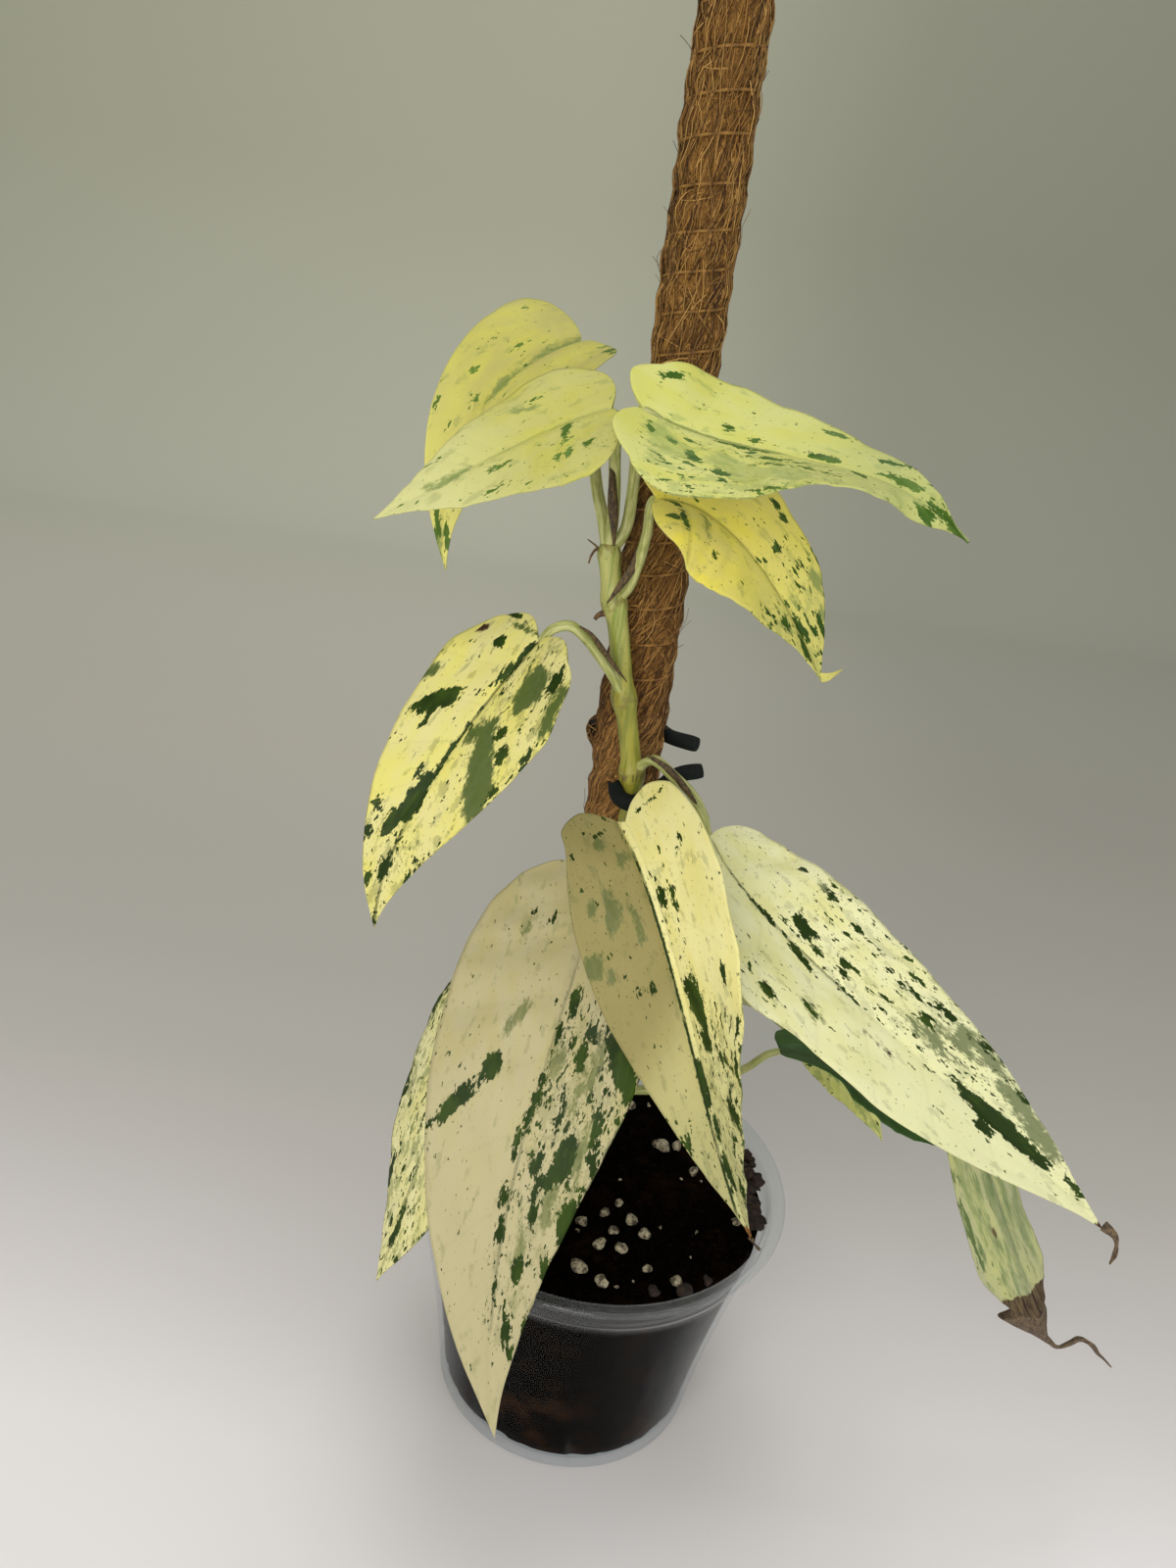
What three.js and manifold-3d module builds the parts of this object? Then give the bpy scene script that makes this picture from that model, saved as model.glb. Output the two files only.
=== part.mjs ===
// A potted variegated cebu blue pothos that climbs a bound coir pole, in millimetres with +Z up.
// The origin is the middle of the pot's base, and -Y is the side that the plant is looked at from.

import * as THREE from 'three'
import { mergeVertices } from 'three/addons/utils/BufferGeometryUtils.js'
import Module from 'manifold-3d'

const wasm = await Module()
wasm.setup()

// Driving dimensions
const GAP = 0.3

const POT = {
  height: 62,
  baseRadius: 31.5,
  rimRadius: 45,
  rimDepth: 1.8,
  collarRadius: 41,
  collarDepth: 8,
  waistRadius: 34.5,
  waistHeight: 28,
  wall: 1,
  wallStations: [0, 0.12, 0.35, 0.65, 0.85, 1],
  floor: 1.6,
  shoulder: 0.8,
  collarLean: 1,
  rimRound: 0.6,
  sides: 36,
  drainHoles: 5,
  drainRadius: 2.5,
  drainCircle: 19
}

const MIX = {
  top: 58,
  edgeTop: 58.6,
  wallLevels: [20, 36, 50],
  wallInset: 0.25,
  shoulderLevel: 56.5,
  shoulderInset: 0.35,
  topInset: 1.2,
  bottomChamfer: 7,
  bottomInset: 4.9,
  bumpHeight: 0.66,
  lumpSink: 0.9,
  sides: 30,
  rings: 4
}

const POLE = {
  bottom: 6,
  top: 335,
  bend: [[-3, 13.5], [-9, 17], [-8, 13.5], [-11, 7]],
  coreRadius: 2.5,
  radius: 7.25,
  bulge: 0.45,
  pitch: 7,
  sides: 10,
  ringsPerTurn: 3
}

const TWINE = {
  radius: 0.45,
  lowest: 61.5,
  tieGapBottom: 149,
  tieGapTop: 176,
  highest: 332
}

const TIE_RADIUS = 1.65
const STEM_RADIUS = 2.1
const STALK_RADIUS = 1.1
const BLADE_THICKNESS = 0.7
const MIDRIB_DEPTH = 0.5
const SHEATH = { halfWidth: 1.2, halfThickness: 0.4 }

// Colours of the real surfaces
const COLOURS = {
  pot: 0xd6dadd,
  mix: 0x1b1613,
  core: 0x2c2c2c,
  coir: 0x7a4a24,
  twine: 0xa0763a,
  tie: 0x1f3328,
  stem: 0xa9b45a,
  yellowLeaf: 0xdcd684,
  creamLeaf: 0xe3dfae,
  darkLeaf: 0x35592f,
  paleLeaf: 0xa9b98a,
  sheath: 0x5a4326
}

// A point list as vectors
function vectors (points) {
  return points.map(([x, y, z]) => new THREE.Vector3(x, y, z))
}

// A smooth curve through hand-placed points
function route (points) {
  return new THREE.CatmullRomCurve3(vectors(points), false, 'centripetal')
}

// One of a repeatable run of values between 0 and 1
function randomSource (seed) {
  let state = seed
  return () => {
    state = (state * 16807) % 2147483647
    return state / 2147483647
  }
}

// Solids and meshes

// A closed three.js geometry as a solid, with its shared vertices merged and empty triangles dropped
function toSolid (geometry) {
  const bare = geometry.clone()
  bare.deleteAttribute('normal')
  bare.deleteAttribute('uv')
  const merged = mergeVertices(bare, 1e-4)
  const index = merged.index.array
  const triangles = []
  for (let i = 0; i < index.length; i += 3) {
    const [a, b, c] = [index[i], index[i + 1], index[i + 2]]
    if (a !== b && b !== c && c !== a) triangles.push(a, b, c)
  }
  return new wasm.Manifold(new wasm.Mesh({
    numProp: 3,
    vertProperties: new Float32Array(merged.attributes.position.array),
    triVerts: new Uint32Array(triangles)
  }))
}

// A solid as a three.js geometry
function toGeometry (solid) {
  const mesh = solid.getMesh()
  const geometry = new THREE.BufferGeometry()
  geometry.setAttribute('position', new THREE.BufferAttribute(new Float32Array(mesh.vertProperties), 3))
  geometry.setIndex(new THREE.BufferAttribute(new Uint32Array(mesh.triVerts), 1))
  return geometry
}

// A closed geometry from rows of points: each row is a closed ring, and both ends are capped at their middle
function ringsToGeometry (rings) {
  const sides = rings[0].length
  const positions = rings.flat().flatMap((point) => point.toArray())
  const index = []
  for (let i = 0; i + 1 < rings.length; i++) {
    for (let j = 0; j < sides; j++) {
      const a = i * sides + j
      const b = i * sides + (j + 1) % sides
      index.push(a, b, a + sides, b, b + sides, a + sides)
    }
  }
  addCap(positions, index, rings[0], 0, true)
  addCap(positions, index, rings.at(-1), (rings.length - 1) * sides, false)
  return indexedGeometry(positions, index)
}

function addCap (positions, index, ring, first, facesBack) {
  const middle = ring.reduce((sum, point) => sum.add(point), new THREE.Vector3()).divideScalar(ring.length)
  const centre = positions.length / 3
  positions.push(...middle.toArray())
  for (let j = 0; j < ring.length; j++) {
    const a = first + j
    const b = first + (j + 1) % ring.length
    if (facesBack) index.push(centre, b, a)
    else index.push(centre, a, b)
  }
}

function indexedGeometry (positions, index) {
  const geometry = new THREE.BufferGeometry()
  geometry.setAttribute('position', new THREE.Float32BufferAttribute(positions, 3))
  geometry.setIndex(index)
  return geometry
}

// A closed tube along a curve, whose half width and half thickness follow the way along it
function tube (curve, { steps, sides, halfWidth, halfThickness = halfWidth }) {
  const frames = curve.computeFrenetFrames(steps, false)
  const rings = []
  for (let i = 0; i <= steps; i++) {
    const along = i / steps
    const centre = curve.getPointAt(along)
    const ring = []
    for (let j = 0; j < sides; j++) {
      const angle = 2 * Math.PI * j / sides
      ring.push(centre.clone()
        .addScaledVector(frames.normals[i], halfWidth(along) * Math.cos(angle))
        .addScaledVector(frames.binormals[i], halfThickness(along) * Math.sin(angle)))
    }
    rings.push(ring)
  }
  return ringsToGeometry(rings)
}

// Pot

// The pot's outer half width at a height, along its flared wall
function potOuterRadius (height) {
  const wall = new THREE.QuadraticBezierCurve(
    new THREE.Vector2(POT.baseRadius, 0),
    new THREE.Vector2(POT.waistRadius, POT.waistHeight),
    new THREE.Vector2(POT.collarRadius, POT.height - POT.collarDepth))
  return wall.getPoint(THREE.MathUtils.clamp(height / (POT.height - POT.collarDepth), 0, 1)).x
}

function potGeometry () {
  const { height, wall, floor, rimDepth, rimRadius, rimRound, collarRadius, collarDepth, collarLean, shoulder } = POT
  const collarStart = height - collarDepth
  const heights = POT.wallStations.map((share) => share * collarStart)
  const outer = heights.map((z) => new THREE.Vector2(potOuterRadius(z), z))
  const inner = heights.slice(1).reverse().map((z) => new THREE.Vector2(potOuterRadius(z) - wall, z))
  const profile = [
    new THREE.Vector2(0, 0),
    ...outer,
    new THREE.Vector2(collarRadius + shoulder, collarStart + shoulder),
    new THREE.Vector2(collarRadius + collarLean, height - rimDepth - rimRound),
    new THREE.Vector2(rimRadius - rimRound, height - rimDepth),
    new THREE.Vector2(rimRadius, height - rimDepth / 2),
    new THREE.Vector2(rimRadius - rimRound, height),
    new THREE.Vector2(collarRadius + collarLean - rimRound, height),
    new THREE.Vector2(collarRadius + shoulder - wall, collarStart + shoulder),
    ...inner,
    new THREE.Vector2(potOuterRadius(floor) - wall, floor),
    new THREE.Vector2(0, floor)
  ]
  const turned = new THREE.LatheGeometry(profile, POT.sides)
  turned.rotateX(Math.PI / 2)
  let pot = toSolid(turned)
  for (let i = 0; i < POT.drainHoles; i++) {
    const angle = 2 * Math.PI * i / POT.drainHoles
    const hole = new THREE.CylinderGeometry(POT.drainRadius, POT.drainRadius, 4 * floor, 10)
    hole.rotateX(Math.PI / 2)
    hole.translate(POT.drainCircle * Math.cos(angle), POT.drainCircle * Math.sin(angle), 0)
    pot = pot.subtract(toSolid(hole))
  }
  return toGeometry(pot)
}

// Coir pole

// The pole's middle at a height: a gentle bend, since the real one can be bent by hand
function poleMiddle (height) {
  const t = (height - POLE.bottom) / (POLE.top - POLE.bottom)
  const [start, lower, upper, end] = POLE.bend.map(([x, y]) => new THREE.Vector2(x, y))
  return new THREE.CubicBezierCurve(start, lower, upper, end).getPoint(t)
}

// One level ring of the pole, whose radius may follow the angle
function poleRing (height, sides, radiusAt) {
  const middle = poleMiddle(height)
  const ring = []
  for (let j = 0; j < sides; j++) {
    const angle = 2 * Math.PI * j / sides
    const radius = radiusAt(angle)
    ring.push(new THREE.Vector3(
      middle.x + radius * Math.cos(angle), middle.y + radius * Math.sin(angle), height))
  }
  return ring
}

// A plain round column along the pole
function poleColumn (bottom, top, radius, sides, steps) {
  const rings = []
  for (let i = 0; i <= steps; i++) {
    rings.push(poleRing(bottom + (top - bottom) * i / steps, sides, () => radius))
  }
  return ringsToGeometry(rings)
}

// How far round the winding is, as a phase that is 0 where the twine lies
function windingPhase (height, angle) {
  return 2 * Math.PI * (height - POLE.bottom) / POLE.pitch - angle
}

// The sleeve bulges between the turns of the twine. The rod's bore runs through it, and the tie presses
// a groove into it
function coirSleeve () {
  const steps = Math.round((POLE.top - POLE.bottom) / POLE.pitch * POLE.ringsPerTurn)
  const rings = []
  for (let i = 0; i <= steps; i++) {
    const height = POLE.bottom + (POLE.top - POLE.bottom) * i / steps
    rings.push(poleRing(height, POLE.sides,
      (angle) => POLE.radius - POLE.bulge * Math.cos(windingPhase(height, angle))))
  }
  const bore = poleColumn(POLE.bottom - 1, POLE.top + 1, POLE.coreRadius + GAP, 8, 16)
  return toSolid(ringsToGeometry(rings)).subtract(toSolid(bore)).subtract(toSolid(tieTube(GAP)))
}

// A stretch of the twine, wound once round the sleeve for each pitch
function twine (bottom, top) {
  const reach = POLE.radius + 2 * TWINE.radius
  const points = []
  const steps = Math.round((top - bottom) / POLE.pitch * POLE.sides)
  const firstStep = Math.round((bottom - POLE.bottom) / POLE.pitch * POLE.sides)
  for (let i = 0; i <= steps; i++) {
    const step = firstStep + i
    const angle = 2 * Math.PI * step / POLE.sides
    const height = POLE.bottom + POLE.pitch * step / POLE.sides
    const middle = poleMiddle(height)
    points.push({ angle, height, middle })
  }
  const rings = points.map(({ angle, height, middle }) => [0, 1, 2].map((corner) => {
    const turn = 2 * Math.PI * corner / 3
    const radius = reach - TWINE.radius * Math.cos(turn)
    return new THREE.Vector3(
      middle.x + radius * Math.cos(angle),
      middle.y + radius * Math.sin(angle),
      height + TWINE.radius * Math.sin(turn))
  }))
  return ringsToGeometry(rings)
}

// Tie

// The soft tie comes from its lower cut end, passes under the stem's joint, goes round the pole's back
// and ends in its upper cut end
const TIE_ROUTE = [
  [7.5, 3.4, 162.8], [2.5, 2, 161.5], [-1.6, -0.4, 158.2], [-6, -0.9, 155.1], [-10.2, 0.4, 156.2],
  [-12.7, 4.4, 159.2], [-15, 9.6, 162.4], [-16, 14.6, 164.2], [-13.6, 20, 165], [-8, 22.2, 165.2],
  [-2.4, 20, 165], [0.6, 15.8, 164.8], [6.4, 12.6, 165]
]

function tieTube (extra) {
  return tube(route(TIE_ROUTE), { steps: 36, sides: 8, halfWidth: () => TIE_RADIUS + extra })
}

// Stem

const STEM_ROUTE = [
  [-3.5, 3.6, 34], [-3.8, 3.6, 70], [-4.6, 3.7, 95], [-5, 3.7, 120], [-5.2, 3.4, 143], [-6.2, 3.2, 157],
  [-9, 2.8, 170], [-11.2, 2.8, 178], [-14, 3.8, 190], [-16.5, 4, 198], [-18.5, 4, 207]
]

// Heights of the joints where stalks leave the stem, with how much each swells
const STEM_JOINTS = [[84, 0.5], [98, 0.5], [113, 0.6], [130, 0.6], [149, 0.5], [160, 0.9], [176, 0.7], [195, 0.7],
  [206, 0.8]]

function stemRadius (height) {
  const swelling = (sum, [joint, extra]) => sum + extra * Math.exp(-(((height - joint) / 2.2) ** 2))
  return STEM_JOINTS.reduce(swelling, STEM_RADIUS)
}

function stemTube (extra) {
  const curve = route(STEM_ROUTE)
  const radiusAt = (along) => stemRadius(curve.getPointAt(along).z) + extra
  return tube(curve, { steps: 48, sides: 8, halfWidth: radiusAt })
}

// Short dry root nubs on the stem's left side, each from inside the stem
const ROOT_NUBS = [
  [[-15.2, 4, 192], [-17.4, 3.8, 192.6], [-18.6, 3.6, 192.2]],
  [[-18.6, 4, 204.6], [-20.8, 3.6, 205.2], [-21.8, 3.2, 203.6]],
  [[-10.2, 3.6, 174.2], [-12.4, 3.2, 174.8], [-13.2, 3, 174]]
]

function stemSolid () {
  let stem = toSolid(stemTube(0))
  for (const points of ROOT_NUBS) {
    const nub = tube(route(points), { steps: 3, sides: 6, halfWidth: (along) => 0.8 - 0.4 * along })
    stem = stem.add(toSolid(nub))
  }
  return stem
}

// Leaves

// Stations round half of a heart-based blade: the way along the midrib as a share of its length, the half
// width as a share of the widest, and where on the midrib the vein that ends there starts
const OUTLINE = {
  along: [0, -0.045, -0.05, 0.03, 0.17, 0.38, 0.60, 0.80, 0.93, 1],
  half: [0, 0.22, 0.50, 0.82, 1, 0.96, 0.70, 0.36, 0.11, 0],
  vein: [0, 0.004, 0.012, 0.03, 0.09, 0.27, 0.49, 0.71, 0.88, 1]
}

// A smooth value between evenly spaced ones
function between (values, t) {
  const last = values.length - 1
  const i = Math.min(Math.floor(t), last - 1)
  const f = t - i
  const pick = (k) => values[THREE.MathUtils.clamp(k, 0, last)]
  const [a, b, c, d] = [pick(i - 1), pick(i), pick(i + 1), pick(i + 2)]
  return 0.5 * (2 * b + (c - a) * f + (2 * a - 5 * b + 4 * c - d) * f ** 2 + (3 * b - a - 3 * c + d) * f ** 3)
}

// Each leaf: its midrib's four Bezier points, the way its upper face looks at its base and its tip, the
// fold along the midrib and the curl of each half in degrees, its half widths on either side, where its
// belly sits and how far its lobes reach back, and the way its stalk takes from the stem
const LEAVES = [
  {
    name: 'leaf_top_back',
    colour: 'yellowLeaf',
    midrib: [[-29, 15.5, 241.5], [-42.5, 4, 237], [-54.5, 2, 220], [-48.5, -1.5, 197.5]],
    faces: [[0.03, -0.39, 0.92], [0.01, -0.99, 0.16]],
    fold: 17,
    curl: -1,
    left: 14,
    right: 12.5,
    belly: 1.3,
    lobe: 0.4,
    stalk: [[-18.5, 4, 205.5], [-20.2, 4.6, 211], [-22, 5, 216], [-24.5, 8, 226], [-26.5, 12, 234.5]]
  },
  {
    name: 'leaf_top_front',
    colour: 'yellowLeaf',
    midrib: [[-21, -13.5, 232.5], [-33, -14, 227.5], [-43.5, -20, 219], [-58, -25, 210]],
    faces: [[-0.3, -0.57, 0.77], [-0.14, -0.75, 0.64]],
    fold: 7,
    curl: -7,
    left: 13.5,
    right: 12,
    belly: 1.1,
    lobe: 0.7,
    stalk: [[-18.4, 4, 205], [-18.2, 2.6, 210.5], [-18.6, 2.4, 216], [-19.4, -1, 223], [-20, -8, 229.5]],
    clearOf: ['leaf_top_back']
  },
  {
    name: 'leaf_top_right',
    colour: 'yellowLeaf',
    midrib: [[-15.5, -16, 233.5], [5, -12.5, 225], [25, -19, 234.5], [40, -29, 221]],
    faces: [[0.43, -0.68, 0.6], [-0.86, 0.35, 0.37]],
    fold: 15,
    curl: -12,
    left: 12.5,
    right: 17,
    belly: 1.2,
    lobe: 1.2,
    stalk: [[-18, 4, 204.5], [-15.6, 4.4, 209], [-15.2, 2.4, 216], [-15.6, -4, 224.5], [-15.8, -11, 230.5]],
    clearOf: ['leaf_top_back', 'leaf_top_front']
  },
  {
    name: 'leaf_mid_right',
    colour: 'yellowLeaf',
    midrib: [[-11, -11, 218.5], [2, -6, 220], [16, -8.5, 204], [24, -14.5, 191]],
    faces: [[0.16, -0.64, 0.75], [0.45, -0.67, 0.59]],
    fold: 23,
    curl: -37,
    left: 15.5,
    right: 15,
    belly: 0.85,
    lobe: 0.95,
    stalk: [[-15.8, 4, 195], [-13.4, 2.4, 198.6], [-12.2, -0.6, 204], [-11.5, -5, 210.5]],
    tip: [[24, -14.5, 191], [25.4, -14.2, 191.4], [28, -12.4, 192.6]]
  },
  {
    name: 'leaf_mid_left',
    colour: 'yellowLeaf',
    midrib: [[-29, -5, 187.5], [-39, -10.5, 172.5], [-55, -19, 147.5], [-54, -16.5, 126]],
    faces: [[-0.58, -0.56, 0.59], [0.24, -0.97, -0.1]],
    fold: 8,
    curl: -10,
    left: 16,
    right: 15.5,
    belly: 1.25,
    lobe: 0.95,
    stalk: [[-10.4, 3.6, 175], [-12.8, 0.6, 180], [-17, -2, 185.5], [-20.5, -4, 189.5], [-23.5, -5.4, 191.4],
      [-26.6, -5, 190]]
  },
  {
    name: 'leaf_front',
    colour: 'creamLeaf',
    midrib: [[-7, -14.5, 156.5], [5, -34, 146.5], [15.5, -35, 110.5], [32, -31.5, 75]],
    faces: [[-0.32, -0.58, 0.75], [-0.51, -0.8, -0.32]],
    fold: 28,
    curl: 3,
    left: 17,
    right: 17,
    belly: 0.9,
    lobe: 0.9,
    stalk: [[-5.5, 3.4, 149], [-5.6, -2, 150.4], [-6, -7, 153]],
    tip: [[32, -31.5, 75], [33.4, -31.6, 73.2], [34.6, -31, 71.8]]
  },
  {
    name: 'leaf_front_left',
    colour: 'creamLeaf',
    midrib: [[-10, -4.5, 138.5], [-12, -29.5, 118.5], [-26, -51, 87], [-14.5, -60, 42]],
    faces: [[-0.27, -0.59, 0.76], [0.21, -0.95, 0.24]],
    fold: 4,
    curl: -16,
    left: 19,
    right: 24,
    belly: 0.95,
    lobe: 0.7,
    stalk: [[-5, 3.6, 130], [-6.4, 1, 133.4], [-8, -1, 136.4]]
  },
  {
    name: 'leaf_behind_left',
    colour: 'creamLeaf',
    midrib: [[-19.5, -6, 123.5], [-38.5, -20, 108], [-36.5, -32, 81.5], [-44, -37.5, 54.5]],
    faces: [[-0.29, -0.5, 0.81], [-0.71, -0.63, 0.32]],
    fold: -1,
    curl: -22,
    left: 15,
    right: 13.5,
    belly: 0.65,
    lobe: 1,
    stalk: [[-5, 3.7, 113], [-9, 2.4, 118], [-14, -1, 122]]
  },
  {
    name: 'leaf_right',
    colour: 'creamLeaf',
    midrib: [[11, -3, 151.5], [19, -21.5, 141], [62, -25.5, 120], [99, -35, 93.5]],
    faces: [[0.35, -0.34, 0.87], [0.13, -0.86, 0.49]],
    fold: 12,
    curl: -8,
    left: 17.5,
    right: 19.5,
    belly: 0.75,
    lobe: 0.65,
    stalk: [[-6.6, 3.2, 160], [-4.4, 1, 163.8], [-2.4, -2.4, 165.6], [1.2, -4, 163.6], [5.4, -4.4, 160.6],
      [9, -3.8, 155.6]],
    tip: [[99, -35, 93.5], [101.4, -35.8, 91.6], [102.6, -36.6, 87.6]]
  },
  {
    name: 'leaf_dark',
    colour: 'darkLeaf',
    midrib: [[35.5, -2, 102.5], [52.5, -1.5, 104.5], [60, -5.5, 92.5], [75, -10, 88.5]],
    faces: [[-0.12, 0.24, 0.96], [0.15, -0.32, 0.94]],
    fold: 12,
    curl: -3,
    left: 10,
    right: 10.5,
    belly: 0.9,
    lobe: 1.3,
    stalk: [[-4.2, 3.7, 84], [0.6, 2.4, 82.4], [8, 1.4, 83.6], [17, 0.4, 87], [28, -2, 95], [33, -2.4, 100.6]]
  },
  {
    name: 'leaf_small',
    colour: 'yellowLeaf',
    midrib: [[44.5, 13, 93.5], [54, 17, 89], [61.5, 15.5, 80.5], [68.5, 12.5, 71]],
    faces: [[0.53, -0.59, 0.61], [0.21, -0.88, 0.43]],
    fold: 19,
    curl: -3,
    left: 7,
    right: 7,
    belly: 1,
    lobe: 0.9,
    stalk: [[-4.6, 3.7, 98], [2, 2.6, 103], [12, 5, 108.6], [28, 10, 106], [39, 12.8, 98.6]]
  },
  {
    name: 'leaf_drooping',
    colour: 'paleLeaf',
    midrib: [[72, -15, 105], [85, -21, 81], [97.5, -23.5, 59], [107.5, -11, 45.5]],
    faces: [[-0.28, 0.89, -0.37], [-0.5, 0.79, 0.36]],
    fold: 15,
    curl: -3,
    left: 7.5,
    right: 7.5,
    belly: 0.6,
    lobe: 1,
    stalk: [[-5, 3.7, 113], [2, 0.6, 115.6], [20, -1, 118], [45, -6, 117], [64, -12, 111.6]],
    clearOf: ['leaf_behind_left'],
    tip: [[107, -12, 46.4], [112.5, -10.4, 40.6], [118.5, -9.8, 40.4], [124, -9.6, 37], [129, -9.4, 32.6]]
  }
]

// The midrib's place, direction and the blade's two cross directions at a share of its length
function midribFrame (leaf, along) {
  const curve = new THREE.CubicBezierCurve3(...vectors(leaf.midrib))
  const inside = THREE.MathUtils.clamp(along, 0, 1)
  const place = curve.getPoint(inside)
  const [start, lower, upper, end] = vectors(leaf.midrib)
  const s = 1 - inside
  const speed = lower.clone().sub(start).multiplyScalar(3 * s * s)
    .addScaledVector(upper.clone().sub(lower), 6 * s * inside)
    .addScaledVector(end.clone().sub(upper), 3 * inside * inside)
  if (along < 0) place.addScaledVector(speed, along)
  const forward = speed.normalize()
  const [baseFace, tipFace] = vectors(leaf.faces)
  const face = baseFace.lerp(tipFace, inside).normalize()
  const side = forward.clone().cross(face).normalize()
  const up = side.clone().cross(forward)
  return { place, forward, side, up }
}

// A point of the blade and the way it faces there. across runs from -1 to 1 over the widest half widths,
// and each half leaves the midrib at the fold's angle and bends on round an arc
function bladePoint (leaf, along, across) {
  const { place, side, up } = midribFrame(leaf, along)
  const width = across < 0 ? leaf.left : leaf.right
  const share = Math.abs(across)
  const fold = THREE.MathUtils.degToRad(leaf.fold)
  const curl = THREE.MathUtils.degToRad(leaf.curl)
  const angle = fold + curl * share
  const out = width * (Math.sin(angle) - Math.sin(fold)) / curl * Math.sign(across)
  const rise = width * (Math.cos(fold) - Math.cos(angle)) / curl
  const facing = up.clone().multiplyScalar(Math.cos(angle))
    .addScaledVector(side, -Math.sin(angle) * Math.sign(across))
  return { point: place.addScaledVector(side, out).addScaledVector(up, rise), facing }
}

// A closed blade: an upper and a lower sheet that share their edge band, thicker along the midrib
function bladeGeometry (leaf) {
  const rows = 10
  const cells = 3
  const upper = []
  const lower = []
  for (let i = 0; i <= rows; i++) {
    const t = (OUTLINE.along.length - 1) * i / rows
    const reach = between(OUTLINE.along, t)
    const along = reach > 0 ? Math.min(reach, 1) ** leaf.belly : reach * leaf.lobe
    const half = Math.max(between(OUTLINE.half, t), 0)
    const vein = THREE.MathUtils.clamp(between(OUTLINE.vein, t), 0, 1) ** leaf.belly
    for (let j = -cells; j <= cells; j++) {
      const share = Math.abs(j) / cells
      const { point, facing } = bladePoint(leaf, vein + (along - vein) * share, half * j / cells)
      upper.push(point.clone().addScaledVector(facing, BLADE_THICKNESS / 2))
      const depth = BLADE_THICKNESS / 2 + MIDRIB_DEPTH * (1 - share) ** 2
      lower.push(point.clone().addScaledVector(facing, -depth))
    }
  }
  return sheetPairGeometry(upper, lower, rows, 2 * cells)
}

// Two matching grids of points, closed round their edges. Their first and last rows are one point each
function sheetPairGeometry (upper, lower, rows, cells) {
  const stride = cells + 1
  const centre = cells / 2
  const at = (i, j) => i * stride + (i === 0 || i === rows ? centre : j)
  const under = upper.length
  const index = []
  const quad = (a, b, c, d) => index.push(a, b, c, a, c, d)
  for (let i = 0; i < rows; i++) {
    for (let j = 0; j < cells; j++) {
      quad(at(i, j), at(i, j + 1), at(i + 1, j + 1), at(i + 1, j))
      quad(under + at(i, j), under + at(i + 1, j), under + at(i + 1, j + 1), under + at(i, j + 1))
    }
    quad(at(i, 0), at(i + 1, 0), under + at(i + 1, 0), under + at(i, 0))
    quad(at(i, cells), under + at(i, cells), under + at(i + 1, cells), at(i + 1, cells))
  }
  return indexedGeometry([...upper, ...lower].flatMap((point) => point.toArray()), index)
}

// The stalk's way: from inside the stem to just under the blade's base
function stalkRoute (leaf) {
  const base = midribFrame(leaf, 0)
  const inBlade = midribFrame(leaf, 0.04)
  return new THREE.CatmullRomCurve3([
    ...vectors(leaf.stalk),
    base.place.addScaledVector(base.up, -0.5),
    inBlade.place.addScaledVector(inBlade.up, -0.5)
  ], false, 'centripetal')
}

function stalkTube (leaf, extra) {
  const radiusAt = (along) => STALK_RADIUS * (1.25 - 0.4 * along) + extra
  return tube(stalkRoute(leaf), { steps: 9, sides: 6, halfWidth: radiusAt })
}

// A leaf is its blade, its stalk cut round the stem, and its dried or curled tip where it has one
function leafSolid (leaf, stemClearance) {
  let stalk = toSolid(stalkTube(leaf, 0)).subtract(stemClearance)
  for (const name of leaf.clearOf ?? []) {
    const neighbour = LEAVES.find((other) => other.name === name)
    stalk = stalk.subtract(toSolid(stalkTube(neighbour, GAP)))
  }
  let solid = toSolid(bladeGeometry(leaf)).add(stalk)
  if (leaf.tip) {
    const tip = tube(route(leaf.tip), {
      steps: 5,
      sides: 5,
      halfWidth: (along) => 1.1 - 0.7 * along,
      halfThickness: () => 0.4
    })
    solid = solid.add(toSolid(tip))
  }
  return solid
}

// Sheaths

// Dried strips that stand beside the stalks they once wrapped
const SHEATHS = [
  { name: 'sheath_top', points: [[-17, -0.1, 206.6], [-17.8, -0.6, 210.5], [-19.6, -0.8, 216.5], [-21.3, -0.1, 222.5]] },
  { name: 'sheath_mid_right', points: [[-19, -1.2, 198.8], [-16.8, 0.2, 202], [-14.9, 1.4, 205], [-14.2, -2, 210]] },
  { name: 'sheath_mid_left', points: [[-10.6, -0.1, 180.9], [-14.6, -1.1, 186], [-18.4, -2.9, 190], [-21.3, -4.5, 192.6]] },
  { name: 'sheath_right', points: [[-3.8, -3.7, 164.2], [0, -4.9, 161.6], [4.4, -5.5, 158.6], [7.2, -5.3, 156.4]] }
]

function sheathGeometry (points) {
  const taper = (along) => Math.sin(Math.PI * (0.12 + 0.8 * (1 - along)))
  return tube(route(points), {
    steps: 6,
    sides: 6,
    halfWidth: (along) => SHEATH.halfWidth * Math.max(taper(along), 0.35),
    halfThickness: () => SHEATH.halfThickness
  })
}

// Potting mix

// The height of the mix's surface, with its gentle bumps
function mixTop (x, y) {
  const bumps = Math.sin(x * 0.31 + 1) * Math.cos(y * 0.27) + 0.6 * Math.sin(x * 0.53 - y * 0.41)
  return MIX.top + MIX.bumpHeight * bumps
}

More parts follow.
